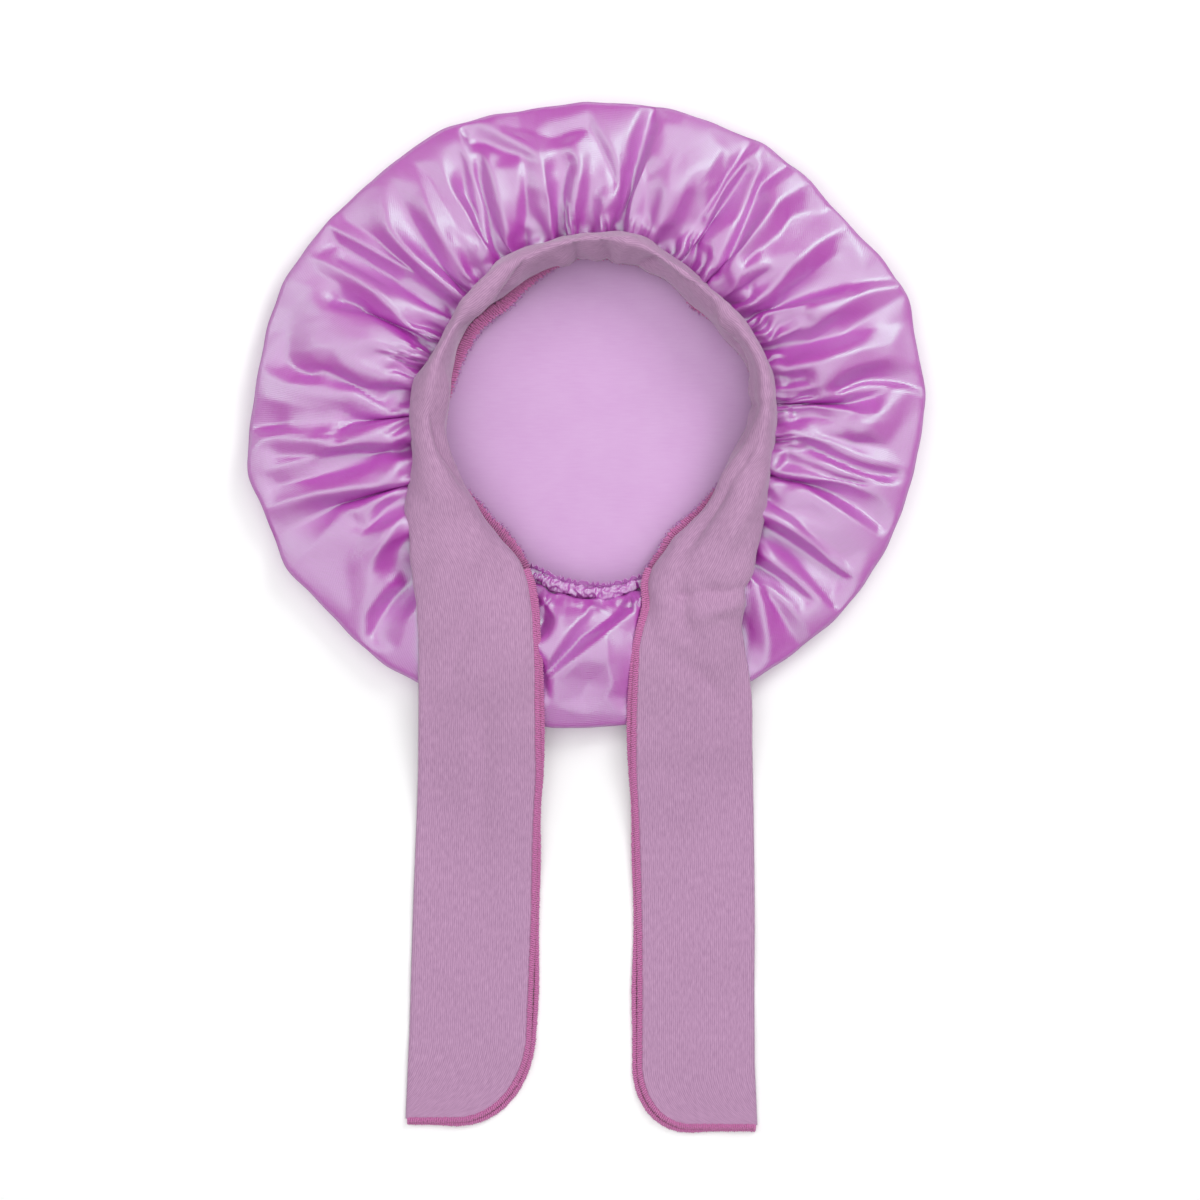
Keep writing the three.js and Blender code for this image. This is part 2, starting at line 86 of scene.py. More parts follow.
# The crown's own folds, each a line of points, three numbers to a point: bearing in degrees, radius
# and height in mm. The cloth spans the lines with flat planes. Heights above 0 are ridges, and
# below 0 valleys.
FOLDS = [
    [-58, 160, 2, -54, 162, 3, -50, 146, 3.5, -46.6, 131, 3.5, -45, 119, 3],
    [-57, 152, -1, -54.5, 145, -3, -50, 131, -2, -47, 121, -1],
    [-46.8, 158, 0, -46, 145, -1.5, -45.6, 134, -1],
    [-44, 160, 2.5, -43.5, 145, 2.5, -43.5, 130, 2.5],
    [-40.2, 150, 0, -41, 130, -3, -42, 116, -5],
    [-38.4, 167, 3, -38.9, 145, 3, -39.4, 118, 3],
    [-37.4, 165, 1, -36, 140, -2.5, -34.2, 124, -4, -33.4, 112, -5],
    [-32.3, 158, -3, -32.8, 132, -5, -32.6, 108, -5.5],
    [-31, 167, 3, -31.6, 147, 2.5, -30.4, 134, 3, -29.4, 122, 3, -30, 106, 2.5],
    [-29.2, 156, -0.5, -27.9, 132, -3, -26.6, 117, -3, -25, 108, -3],
    [-25.4, 113, 1, -23, 107, 1.5, -20.5, 103, 1],
    [-26, 166, 2, -24.5, 145, 1, -23, 125, 0],
    [-22.9, 168, 2.5, -21.9, 150, 2.5, -20.3, 132, 2.5, -18.9, 120, 1],
    [-20.6, 166, -0.5, -18.8, 150, -3.5, -17.8, 130, -4.5, -17.8, 103, -6],
    [-17.2, 168, 2.5, -15.4, 160, 3, -15, 145, 3, -15.6, 125, 3, -16.4, 102, 3],
    [-14, 150, -1, -13.8, 130, -2.5, -12.8, 108, -4],
    [-12.4, 171, 2.5, -13.2, 157, 2.5, -12.9, 140, 2.5, -11.4, 125, 2.5, -10.4, 106, 2],
    [-11, 163, -2, -11.3, 147, -4, -10.2, 132, -4.5, -8.8, 117, -3.5],
    [-9.7, 171, 2.5, -9.5, 150, 3, -8.7, 135, 3, -7.2, 120, 3, -5.7, 111, 3],
    [-6, 158, -0.5, -6.4, 143, -3, -5.6, 130, -3.5, -3.9, 118, -3.5, -3, 112, -3],
    [-7, 103, 1, -5, 107, 2.5, -3.2, 107, 2, -3.9, 101, 0],
    [-4.6, 142, 2, -3.1, 149, 3, 0, 152, 3, 1.2, 140, 3.5, 1.9, 120, 3.5, 2.2, 103, 3],
    [-2.2, 134, -1.5, -1.2, 122, -5, -1.3, 111, -5.5],
    [4.2, 152, -1.5, 3.2, 130, -5, 3.6, 112, -5, 4.4, 104, -5],
    [2.8, 177, 2, 4.7, 170, 2, 5.6, 157, 3, 5.6, 142, 3, 5, 125, 3, 5.4, 108, 2.5],
    [4.6, 176, 0, 6.5, 162, -2.5, 7.8, 147, -3, 6.6, 134, -2.5],
    [8.7, 172, 2, 11, 160, 3, 10.7, 139, 3, 7.8, 128, 2.5],
    [6.9, 118, -3, 6.8, 108, -2],
    [8.4, 122, 2.5, 8.8, 104, 2],
    [10.4, 117, -3, 10.5, 108, -2.5],
    [13.5, 165, 2, 13.8, 145, 3, 13, 125, 3, 12.4, 105, 2],
    [16.4, 173, 0, 17.6, 148, -3, 19.4, 122, -4.5, 21.5, 104, -3],
    [20.8, 178, 1, 19.6, 160, -2.5, 18.6, 147, -4],
    [22.8, 177, 2.5, 23.9, 160, 3, 22.8, 140, 3, 20.8, 124, 3],
    [23.8, 177, -0.5, 26.5, 157, -1.5, 28.8, 140, -3, 30.4, 122, -5, 31.4, 102, -6],
    [25.5, 150, 3, 27, 138, 3, 28.8, 120, 3, 29.6, 104, 2],
    [25.4, 124, -1, 25.3, 115, -4, 25.8, 108, -2],
    [22.5, 120, 2.5, 23.5, 104, 2],
    [29.5, 166, 1.5, 33, 158, -1, 33.5, 143, -2.5, 32.8, 125, -5],
    [36, 168, 3, 37, 150, 3, 37, 135, 3, 35.8, 122, 3.5, 34.5, 103, 3],
    [40.5, 165, 0, 42.7, 158, -2, 44.4, 150, -2.5, 43.2, 140, -3, 44, 118, -3],
    [38.5, 124, 1, 40, 112, -3, 38.5, 101, -3],
    [42, 120, 2, 43, 110, 1.5, 41, 101, 1],
    [46.5, 168, 3, 48, 150, 3.5, 47.5, 125, 3, 46, 108, 1.5],
    [49.6, 169, 2.5, 51.4, 150, 2],
    [51.2, 168, -0.5, 52.9, 152, -3, 51.6, 138, -3, 49.7, 120, -3.5, 47.8, 104, -4],
    [57, 167, 2.5, 55.2, 157, 2.5, 53.7, 140, 2.5, 51.6, 122, 2, 49.5, 104, 1],
    [56.9, 155, -2, 56.9, 130, -5, 57, 108, -5.5],
    [53.8, 124, 1.5, 55.2, 110, 1],
    [57.9, 166, 2.5, 58.8, 142, 2.5, 59.2, 122, 2],
    [58.9, 166, -0.5, 60, 142, -3, 60.8, 117, -4, 61, 103, -3.5],
    [62, 156, 2.5, 67, 161, 3, 72, 161, 3],
    [63, 135, 3, 67, 135, 3, 65.5, 112, 3],
    [62.4, 107, -3, 64, 103, -4.5, 66.5, 98, -3],
    [76.4, 160, 3, 73.8, 147, 3, 71, 135, 3, 69, 117, 3, 69, 103, 2],
    [74.5, 130, -0.5, 73.5, 112, -1],
    [77.4, 167, -1, 78.4, 147, -3, 79.3, 132, -4.5, 79.5, 117, -4.5, 79.2, 100, -4],
    [76.2, 150, 2.5, 77.3, 135, 3, 78, 118, 3, 77.5, 103, 2.5],
    [80, 165, 2.5, 81.5, 148, 3, 81.5, 135, 1.5],
    [81.3, 122, -3.5, 81.8, 105, -4],
    [89.4, 160, 2.5, 86, 143, 2.5, 83.7, 132, 2.5, 82.8, 122, 1],
    [89.5, 150, -0.5, 86.4, 134, -3, 84.2, 124, -2.5],
    [83, 113, 2.5, 85.6, 111, 2.5, 86.4, 106, 1.5],
    [90, 130, 1, 89, 112, -1, 89.5, 100, -2],
    [91.6, 134, 2.5, 94.3, 138.5, 3, 99, 138.5, 3, 101, 137, 3, 103.8, 147, 3, 109.7, 163, 3, 117, 169, 2],
    [97, 147, -1.5, 103, 153, -1],
    [104, 140, -1.5, 109.7, 151, -3, 113.5, 159, -2],
    [100.5, 134, 3, 100.4, 118, 3, 101.4, 102, 2.5],
    [93.8, 132, -1.5, 96, 120, -4, 98, 103, -4],
    [91.7, 127, 2.5, 93.5, 112, 2.5, 94.5, 101, 1],
    [104.6, 128, -1, 107, 112, -4, 109.7, 95, -5],
    [102.5, 114, -1.5, 105, 99, -3],
    [106, 134, 2.5, 107.8, 118, 2.5, 109.5, 106, 2],
    [111, 148, 3, 111.6, 130, 3, 112.6, 108, 3, 114, 98, 2],
    [112, 150, 0, 113.8, 138, -4, 115.3, 120, -4.5, 117.4, 107, -4, 119.2, 93, -4.5],
    [114.4, 148, 2.5, 116, 132, 2, 117, 120, 1.5, 118.8, 106, 1],
    [115.9, 147, 0, 117.8, 135, -4, 118, 122, -4, 119.9, 107, -4.5],
    [113, 158, 2.5, 117.7, 160, 3, 120, 152, 3, 120.4, 138, 3, 119.7, 122, 3, 121.4, 100, 3],
    [123.5, 150, 0, 124.3, 132, -1, 124.7, 118, -3],
    [122, 109, -3, 125, 98, -4],
    [124.7, 160, 2, 128, 162, 3, 132.6, 158, 3, 136.6, 140, 3.5, 137.3, 120, 3.5, 135.7, 96, 3],
    [125.8, 148, 2.5, 128, 130, 3, 128.5, 108, 3, 130, 95, 2],
    [131, 146, 0, 132.8, 122, -4, 133.8, 97, -5],
    [141.2, 163, -1, 139.4, 142, -3.5, 139.3, 120, -4, 140.6, 105, -4, 142.2, 92, -3.5],
    [143.5, 168, 2.5, 142, 140, 2.5, 140.6, 122, 1],
    [145.5, 160, -2, 144.5, 140, -4.5, 144, 125, -6, 144.6, 102, -6],
    [147.6, 152, -1.5, 147, 130, -3.5, 146.8, 110, -3.5, 146, 94, -4],
    [150.4, 170, 2.5, 148.8, 147, 3, 148.6, 132, 3, 150.8, 115, 3, 154, 98, 3],
    [152.2, 160, 1, 151.8, 140, 0, 153, 118, -1],
    [155.7, 171, 2.5, 154.6, 157, 2, 153.8, 148, 1],
    [154.7, 143, -4, 154, 134, -4, 155, 119, -4.5, 156.8, 98, -6],
    [155.6, 131, 1.5, 157.2, 114, 2.5, 159.8, 97, 2.5],
    [158.3, 146, 2.5, 162, 151, 3, 166.5, 148, 3.5],
    [159.5, 125, 3, 163, 110, 3.5, 167, 104, 3],
    [160.5, 165, 0, 165, 163, -0.5, 170, 160, -2, 171.7, 147, -3],
    [164.5, 140, 3, 168.5, 130, 2.5, 171.5, 119, 2.5, 174.4, 110, 2],
    [171.7, 174, 2.5, 173.8, 157, 2.5, 173, 140, 3, 174.7, 121, 3, 178.2, 103, 2.5],
    [170, 140, -1.5, 172.2, 126, -1, 175, 108, -2],
    [177, 168, 3, 178, 150, 3, 178, 135, 2.5],
    [184, 172, 3, 183.5, 150, 3, 184.5, 140, 2],
    [182, 176, -1, 181.4, 163, -2, 181, 156, 1.5],
    [179.4, 125, -2, 180, 112, -6, 180.2, 102, -6],
    [180.3, 124, -3, 182.5, 130, -2.5, 186.3, 132, -1.5],
    [180.6, 130, 1.5, 182.5, 134, 2],
    [181.6, 102, 1.5, 183, 113, 2.5, 186, 118, 3, 187.8, 108, 3],
    [186, 177, 2.5, 184.7, 165, 2.5, 185.7, 147, 2.5, 187.5, 132, 2.5, 188.4, 117, 2.5, 189.6, 100, 2],
    [190.3, 181, 2, 189.5, 160, 0.5, 188.5, 140, -2],
    [187.2, 165, -1, 189.2, 138, -4, 189.3, 124, -5.5, 190.4, 110, -5.5, 191, 98, -5],
    [192.5, 168, -2, 192.5, 140, -4.5, 192.5, 118, -5.5],
    [196.3, 177, 2.5, 196.2, 145, 3, 197.6, 125, 3, 199.4, 107, 3, 200.4, 99, 2.5],
    [192.4, 101, 1, 194.5, 106, 2.5, 197.4, 103, 1.5],
    [200.6, 169, -1.5, 200.9, 150, -4, 201, 130, -5.5, 201.7, 101, -6],
    [208, 175, 2.5, 205, 152, 0, 202.2, 136, -2.5],
    [203, 105, 2, 204, 120, 2.5, 206.4, 127, 2.5],
    [205, 102, -3.5, 206.3, 116, -3, 208.8, 132, -2.5, 211, 148, -1],
    [207.5, 105, 2.5, 211, 118, 3, 215.5, 137, 3.5, 219.8, 152, 3.5, 220.4, 164, 2.5],
    [213.5, 109, -2, 217, 121, -5, 219.5, 130, -3],
    [221.6, 135, 2.5, 221.7, 155, 3, 225, 166, 3, 232, 167, 3, 231, 155, 2.5, 229.5, 142, 2],
    [225.6, 159, -2, 223.6, 142, -5, 223.6, 124, -5],
    [237.6, 164, 2.5, 232, 143, 2.5, 227.8, 131, 2],
    [254, 97, 3, 258, 101, 3.5, 261, 105.5, 3.5, 262.2, 111, 3.5, 260.5, 118, 3, 257, 122, 2.5],
    [254, 108, -6, 258.4, 109.5, -6, 258, 114, -5.5, 254, 116, -5],
    [271, 101, 2.5, 266, 113, 3, 263.8, 122, 3, 261.4, 133.5, 2.5],
    [280, 103, -2.5, 274.6, 109, -4.5, 268.6, 117, -5.5, 264.2, 128, -5, 261, 138, -2.5],
    [284, 104.5, 4, 277, 110.5, 4.5, 270.8, 118.5, 4.5, 266, 130.3, 4, 262, 139.5, 2.5],
    [263, 152, 3, 270, 156, 3, 279, 158, 2.5],
    [275, 132, 2.5, 275.5, 142, 2.5, 273, 150, 2.5],
    [270.5, 141, 0.5, 269, 148, 1],
    [282, 118, -2, 280.5, 135, -1, 279, 150, -0.5],
]
VALLEY_SHARE = 0.85  # of the table's depths
VALLEY_SHARE_AT_BAND = 0.55  # valleys are shallower next to the band
VALLEYS_FULL_FROM = (105, 22)  # their share grows from the first radius over the second, in mm
CRISP = 0.35 * MM  # how far a ridge stands above its rounded form
FOLD_ROUNDING = 3  # columns and rows over which a ridge is rounded
FOLD_MM = 2.4  # a degree's width in the plane that the folds are spanned in
FOLD_STEP = 3  # mm between the points along a fold's line
FLAT_RINGS = (80, 192)  # radii in mm where the folds have run out
FOLDS_BEFORE = 0.5  # share of the folds put in before the simulation
FOLDS_AFTER = 0.75  # and after it

# How strongly the curls stand at the gathered edge, by bearing
CURLED = [
    *((-60, 0.2), (-22, 0.3), (-8, 0.9), (60, 1.0), (68, 0.5), (82, 0.9), (98, 0.9), (106, 0.4)),
    *((150, 0.35), (158, 1.0), (192, 1.0), (206, 0.5), (215, 0.2), (250, 0.2), (256, 1.5)),
    *((287, 1.5), (292, 0.2)),
]

# The cloth solver works on a crown ten times as large
SIM_SCALE = 10
SIM_FRAMES = 20
SIM_SHARE = 0.3  # share of each point's move that is kept
SIM_REACH = 9 * MM  # no point moves further
RIM_HOLD = 6 * MM  # and so much less at the rim

# Camera
CAMERA_LENS = 100
CAMERA_SENSOR = 36
VIEW_CENTRE = (6.9 * MM, -97.0 * MM)
VIEW_WIDTH = 636 * MM

# Lamps: name, place, width in metres and power in watts
LAMPS = [
    ("top_softbox", (0.0, -0.1, 2.2), 3.8, 59),
    ("key_softbox", (0.85, 0.95, 1.05), 0.7, 11),
    ("side_softbox", (-1.2, 0.35, 0.9), 0.6, 4.2),
    ("low_softbox", (0.1, -1.3, 1.0), 0.5, 2.3),
]
ROOM_LIGHT = 0.11
FLOOR_REACH = 3  # metres from its middle

# Band


def on_circle(bearing, radius):
    turn = math.radians(bearing)
    return (radius * math.cos(turn), radius * math.sin(turn))


def section(seam, fold, arch=0.0, crest=0.5):
    """A row of the band's table: the places of its raw and its folded edge, how high it stands
    between them, and where across its width it stands highest."""
    return (*seam, *fold, arch, crest)


def ring(bearing, seam, fold, arch, crest=0.5):
    """The same by bearing and by the two edges' distances from the crown's centre."""
    return section(on_circle(bearing, seam), on_circle(bearing, fold), arch, crest)


# From the left tie's hem round the opening to the right tie's hem, in mm.
BAND = [
    section((-31.3, -325), (-93.2, -325)),
    section((-30.2, -298), (-92.4, -298)),
    section((-28.8, -262), (-91.3, -262)),
    section((-27.9, -219), (-89.6, -219)),
    section((-26.2, -190), (-88.4, -190), 0.3),
    section((-26.4, -171), (-88, -171), 0.6),
    section((-26.6, -152), (-87.6, -153), 1.2),
    section((-26.7, -134), (-87.5, -136.5), 2, 0.48),
    section((-28.5, -107.5), (-88, -110), 4, 0.45),
    section((-32.6, -81), (-89.6, -86.5), 7, 0.4),
    section((-48, -63.5), (-91.7, -65), 11, 0.36),
    section((-57.8, -46.5), (-93.3, -44), 15, 0.36),
    section((-68.4, -27), (-93.3, -22.8), 18, 0.4),
    section((-74.2, -4.2), (-92.2, -1.6), 20, 0.45),
    ring(165, 75.9, 86.8, 21, 0.6),
    ring(150, 76.4, 85.3, 22, 0.6),
    ring(135, 76.9, 86.3, 22, 0.6),
    ring(120, 78, 89.4, 22, 0.6),
    ring(105, 80.1, 92.6, 22, 0.6),
    ring(90, 83.8, 94.8, 22, 0.6),
    ring(75, 83.8, 96.3, 22, 0.6),
    ring(60, 82.2, 93.3, 22, 0.6),
    ring(45, 81.7, 93.4, 22, 0.6),
    ring(30, 84.3, 94.8, 22, 0.6),
    ring(15, 87.5, 98.4, 21, 0.6),
    ring(0, 85.4, 98.4, 20, 0.57),
    ring(-12, 81.6, 99.5, 19, 0.5),
    section((71.6, -34.5), (97.5, -28.1), 17, 0.38),
    section((59.9, -50.4), (92.8, -54.6), 14, 0.34),
    section((48.2, -65.2), (87.5, -75.8), 11, 0.34),
    section((36.6, -82.2), (81.1, -92.8), 9, 0.38),
    section((31.6, -100), (80, -106), 7, 0.42),
    section((27.6, -123.5), (82.7, -124.5), 3.5, 0.46),
    section((25.7, -147.3), (85.9, -148), 1.4),
    section((25.2, -173.8), (86.4, -173.8), 0.6),
    section((25.4, -190), (86.9, -190), 0.3),
    section((27, -219), (87.5, -219)),
    section((28.2, -262), (88, -262)),
    section((28.6, -300), (87.8, -300)),
    section((28.4, -343), (88, -343)),
]
LEFT_TIE = {"hem": -371.5, "outer_corner": -95.2, "corner_radius": 38, "nape_row": 9}
RIGHT_TIE = {"hem": -375, "outer_corner": 89.4, "corner_radius": 26, "nape_row": 30}
# The band's creases, each from a row of the table and a share of the way from seam to fold to
# another: lift is in mm, below 0 for a groove, and half is its half width.
BAND_CREASES = [
    ((13.4, 0.6), (11.2, 0.26), -3.6, 4.5),
    ((14.2, 0.72), (11.8, 0.1), 2.7, 3),
    ((13.9, 0.9), (12.2, 0.75), 2.1, 4),
    ((18.1, 0.6), (18.5, 0), 4, 2.8),
    ((18.7, 0.55), (18.8, 0), -4.8, 2.4),
    ((19, 0.62), (19.2, 0), 4.2, 2.6),
    ((19.4, 0.5), (19.5, 0), -4.6, 2.4),
    ((19.9, 0.5), (19.8, 0), 3.6, 2.6),
    ((20.6, 0.4), (20.3, 0), -3.8, 3),
    ((16.2, 0.2), (17.6, 0.55), -4, 2.6),
    ((15, 0.75), (16.9, 0.45), 3.4, 2.6),
    ((22.4, 0.55), (24.5, 0.08), 4.6, 2.6),
    ((22.9, 0.3), (24.4, 0), -4.2, 2.4),
    ((24.7, 0), (24.9, 0.6), -4.6, 2.8),
    ((25, 0.4), (29, 0.14), 3.8, 3.4),
    ((25.4, 0.62), (29.4, 0.36), -3.8, 4),
    ((26, 0.8), (29.6, 0.62), 4.1, 5),
    ((29.9, 0.97), (30.7, 0.35), -4.6, 3.5),
    ((30.3, 0.98), (31.3, 0.5), 3.6, 4),
    ((9.4, 0.4), (7, 0.7), -3.6, 5),
    ((8.6, 0.3), (6.2, 0.55), 3.1, 5),
    ((31.8, 0.25), (33, 0.75), -2.4, 5),
]
TIE_SLOPE = 0.22  # how steeply the ties come down from the crown
BAND_CLEAR = 0.6 * MM  # between the band and what it lies on
STANDS_FROM = 9 * MM  # a band that arches higher than this stands on the opening's edge
COLLAR_BASE = (3.5 * MM, 2 * MM)  # its seam's height over that edge, and its fold's over the seam
CRINKLE = 3.8 * MM  # small unevenness of the jersey where it stands

BAND_STEPS = 8  # sections to each row of the table
BAND_ACROSS = 28  # points across a section
CORNER_STEPS = 12  # sections to a tie's rounded corner

# Thread
STITCH_PITCH = 1.15 * MM
STITCH_WIDTH = 2.7 * MM
STITCH_HEIGHT = 2.0 * MM
UNDER_SHOWS = 2.7 * MM  # how far the lower layer's edge shows beside the upper one's

# How far the overlocked seam shows inside the band, by bearing, in mm
SEAM_SHOWS = [
    *((-75, 2.6), (-64, 3.4), (-50, 5.5), (-34, 4.0), (-24, 0.0), (38, 0.0), (45, 1.5), (52, 0.0)),
    *((98, 0.0), (112, 4.0), (128, 7.0), (150, 6.5), (166, 2.5), (174, 0.0), (208, 0.0), (220, 3.5)),
    *((236, 6.0), (248, 3.6), (258, 2.6)),
]
SEAM_WIDTH = 6.5 * MM
SEAM_HEIGHT = 1.7 * MM
SEAM_CORE_HEIGHT = 1.1 * MM
SEAM_BELOW = 1 * MM  # how far it lies below the opening's edge
FRAYS = 900  # loose ends of satin
FRAY_RADII = (0.26 * MM, 0.16 * MM)
FRAY_LENGTHS = (1.5, 4.2)  # mm

# The gathered casing at the nape, in mm
CASING_PATH = [(-31, -82.5), (-14, -89.6), (0, -92.2), (14, -92.4), (30, -88.0)]
CASING_WIDTH = 9 * MM
CASING_HEIGHT = 6 * MM
CASING_WALL = 0.35 * MM
CASING_BELOW = 1.2 * MM  # how far its middle lies below the opening's edge
CASING_STEPS = 70  # sections to each point of its path
CASING_ROUND = 41  # points round a section
CASING_CUT = (3.6 * MM, 120 * MM)  # the weave's width to a radian round it, and its length
CASING_GATHERS = 11
FRILL = 2.8 * MM


# Helpers


def srgb(code):
    """A hex colour as linear red, green, blue and alpha."""
    parts = [int(code[i : i + 2], 16) / 255 for i in (1, 3, 5)]
    linear = [p / 12.92 if p <= 0.04045 else ((p + 0.055) / 1.055) ** 2.4 for p in parts]
    return (*linear, 1.0)


def add_node(tree, kind, settings=(), inputs=(), output=0):
    """Adds a shader node with its settings, and its inputs as values or links; gives an output."""
    made = tree.nodes.new("ShaderNode" + kind)
    for key, value in dict(settings).items():
        setattr(made, key, value)
    for key, value in dict(inputs).items():
        if isinstance(value, bpy.types.NodeSocket):
            tree.links.new(value, made.inputs[key])
        else:
            made.inputs[key].default_value = value
    return made.outputs[output]


def new_material(name, values):
    """A material with its shader, whose sockets take the given values."""
    made = bpy.data.materials.new(name)
    made.use_nodes = True
    shader = made.node_tree.nodes["Principled BSDF"]
    for key, value in values.items():
        shader.inputs[key].default_value = value
    return made, made.node_tree, shader


def link(obj):
    bpy.context.scene.collection.objects.link(obj)
    return obj


def mesh_from(name, bm):
    mesh = bpy.data.meshes.new(name)
    bm.to_mesh(mesh)
    bm.free()
    return mesh


def object_from(name, bm, materials):
    mesh = mesh_from(name, bm)
    for material in materials:
        mesh.materials.append(material)
    mesh.polygons.foreach_set("use_smooth", [True] * len(mesh.polygons))
    return link(bpy.data.objects.new(name, mesh))


def finish_mesh(obj):
    """Applies an object's modifiers, so that its mesh is what they made."""
    bpy.context.view_layer.update()
    evaluated = obj.evaluated_get(bpy.context.evaluated_depsgraph_get())
    mesh = bpy.data.meshes.new_from_object(evaluated)
    obj.modifiers.clear()
    if obj.data.shape_keys:
        obj.shape_key_clear()
    old, obj.data = obj.data, mesh
    bpy.data.meshes.remove(old)
    mesh.name = obj.name
    return obj


def thicken(obj, wall, offset, inner_material=0):
    made = obj.modifiers.new("wall", "SOLIDIFY")
    made.thickness = wall
    made.offset = offset
    made.material_offset = inner_material
    made.material_offset_rim = inner_material
    return finish_mesh(obj)


def coordinates(mesh):
    co = np.zeros(len(mesh.vertices) * 3, np.float32)
    mesh.vertices.foreach_get("co", co)
    return co.reshape(-1, 3).astype(float)


def set_coordinates(mesh, co):
    mesh.vertices.foreach_set("co", co.reshape(-1).astype(np.float32))
    mesh.update()


def weld(bm):
    bmesh.ops.remove_doubles(bm, verts=bm.verts, dist=1e-6)


def face_outward(bm):
    bmesh.ops.recalc_face_normals(bm, faces=bm.faces)


def search_tree(mesh):
    bm = bmesh.new()
    bm.from_mesh(mesh)
    weld(bm)
    tree = BVHTree.FromBMesh(bm)
    bm.free()
    return tree


def ease(t):
    t = np.clip(t, 0, 1)
    return t * t * (3 - 2 * t)


def run_along(points):
    """The distance along a line of points, from its first."""
    return np.concatenate([[0], np.cumsum(np.linalg.norm(np.diff(points, axis=0), axis=1))])


def unit(vectors):
    return vectors / np.linalg.norm(vectors, axis=-1, keepdims=True)


def sideways(path):
    """The level unit vectors to the left of a line, one at each of its points."""
    ahead = np.gradient(path, axis=0)
    return unit(np.stack([-ahead[:, 1], ahead[:, 0], np.zeros(len(path))], axis=1))


def catmull_rom(table, steps):
    """A smooth curve through each row of a table, with steps points to a row."""
    padded = np.vstack([2 * table[0] - table[1], table, 2 * table[-1] - table[-2]])
    t = (np.arange(steps) / steps)[:, None]
    found = []
    for a, b, c, d in zip(padded, padded[1:], padded[2:], padded[3:]):
        bend = (2 * a - 5 * b + 4 * c - d) * t**2 + (3 * b - a - 3 * c + d) * t**3
        found.append(0.5 * (2 * b + (c - a) * t + bend))
    return np.vstack([*found, table[-1:]])


def cloth_grid(points, cut):
    """Cloth as a grid of points, (rows, columns, 3), with its flat cut, (rows, columns, 2), as UV."""
    rows, columns = points.shape[:2]
    bm = bmesh.new()
    bmesh.ops.create_grid(bm, x_segments=columns - 1, y_segments=rows - 1, size=1)
    uv = bm.loops.layers.uv.new("cut")
    flat = cut.reshape(-1, 2)
    for face in bm.faces:
        for loop in face.loops:
            loop[uv].uv = flat[loop.vert.index]
    for vert, place in zip(bm.verts, points.reshape(-1, 3)):
        vert.co = place
    return bm


# Materials


def dress(tree, shader, share, shades, height=None, strength=0, depth=0):
    """Colours a cloth between two shades, and gives it the relief of its threads."""
    values = {0: share, 6: srgb(shades[0]), 7: srgb(shades[1])}
    tint = add_node(tree, "Mix", {"data_type": "RGBA"}, values, output=2)
    tree.links.new(tint, shader.inputs["Base Color"])
    if height:
        values = {"Height": height, "Strength": strength, "Distance": depth}
        tree.links.new(add_node(tree, "Bump", inputs=values), shader.inputs["Normal"])


def satin_face():
    """Woven polyester charmeuse, its long floats up: silky, with broad pale highlights.

    The high IOR and the tint stand for the many threads that shine in one direction.
    """
    material, tree, shader = new_material(
        "polyester_satin_face",
        {"Roughness": 0.44, "IOR": 3.45, "Specular Tint": (0.5, 1.0, 0.7, 1.0), "Anisotropic": 0.5},
    )
    cut = add_node(tree, "UVMap", {"uv_map": "cut"})
    along = add_node(tree, "Mapping", inputs={"Vector": cut, "Scale": (1100, 130, 1)})
    slub = add_node(tree, "TexNoise", inputs={"Vector": along, "Scale": 1, "Detail": 3})
    # Weft lines 1.1 mm apart, ten times the real spacing, which is too fine to show.
    weft = add_node(
        tree,
        "TexWave",
        {"bands_direction": "Y"},
        {"Vector": cut, "Scale": 285, "Distortion": 2.5, "Detail": 2, "Detail Scale": 1.5},
        output="Fac",
    )
    speck = add_node(tree, "TexNoise", inputs={"Vector": cut, "Scale": 1500, "Detail": 1})
    lines = add_node(tree, "Math", {"operation": "ADD"}, {0: weft, 1: speck})
    cloth = add_node(tree, "Math", {"operation": "ADD"}, {0: lines, 1: slub})
    dress(tree, shader, slub, ("#C226B4", "#CE38C8"), cloth, 0.22, 0.2 * MM)
    tangent = add_node(tree, "Tangent", {"direction_type": "UV_MAP", "uv_map": "cut"})
    tree.links.new(tangent, shader.inputs["Tangent"])
    return material


def satin_reverse():
    """The same satin's dull reverse, matt and paler, on the inside of the crown."""
    material, tree, shader = new_material(
        "polyester_satin_reverse", {"Roughness": 0.65, "Sheen Weight": 0.15, "Sheen Roughness": 0.5}
    )
    place = add_node(tree, "TexCoord", output="Object")
    # Threads about 1 mm wide, for a weave that is too fine to show.
    along = add_node(tree, "Mapping", inputs={"Vector": place, "Scale": (110, 1100, 1)})
    slub = add_node(tree, "TexNoise", inputs={"Vector": along, "Scale": 1, "Detail": 3})
    cloud = add_node(tree, "TexNoise", inputs={"Vector": place, "Scale": 40, "Detail": 2})
    both = add_node(tree, "Math", {"operation": "ADD"}, {0: slub, 1: cloud})
    half = add_node(tree, "Math", {"operation": "MULTIPLY"}, {0: both, 1: 0.5})
    weave = add_node(tree, "TexNoise", inputs={"Vector": place, "Scale": 900, "Detail": 2})
    dress(tree, shader, half, ("#C695CA", "#D3ADD7"), weave, 0.12, 0.2 * MM)
    return material


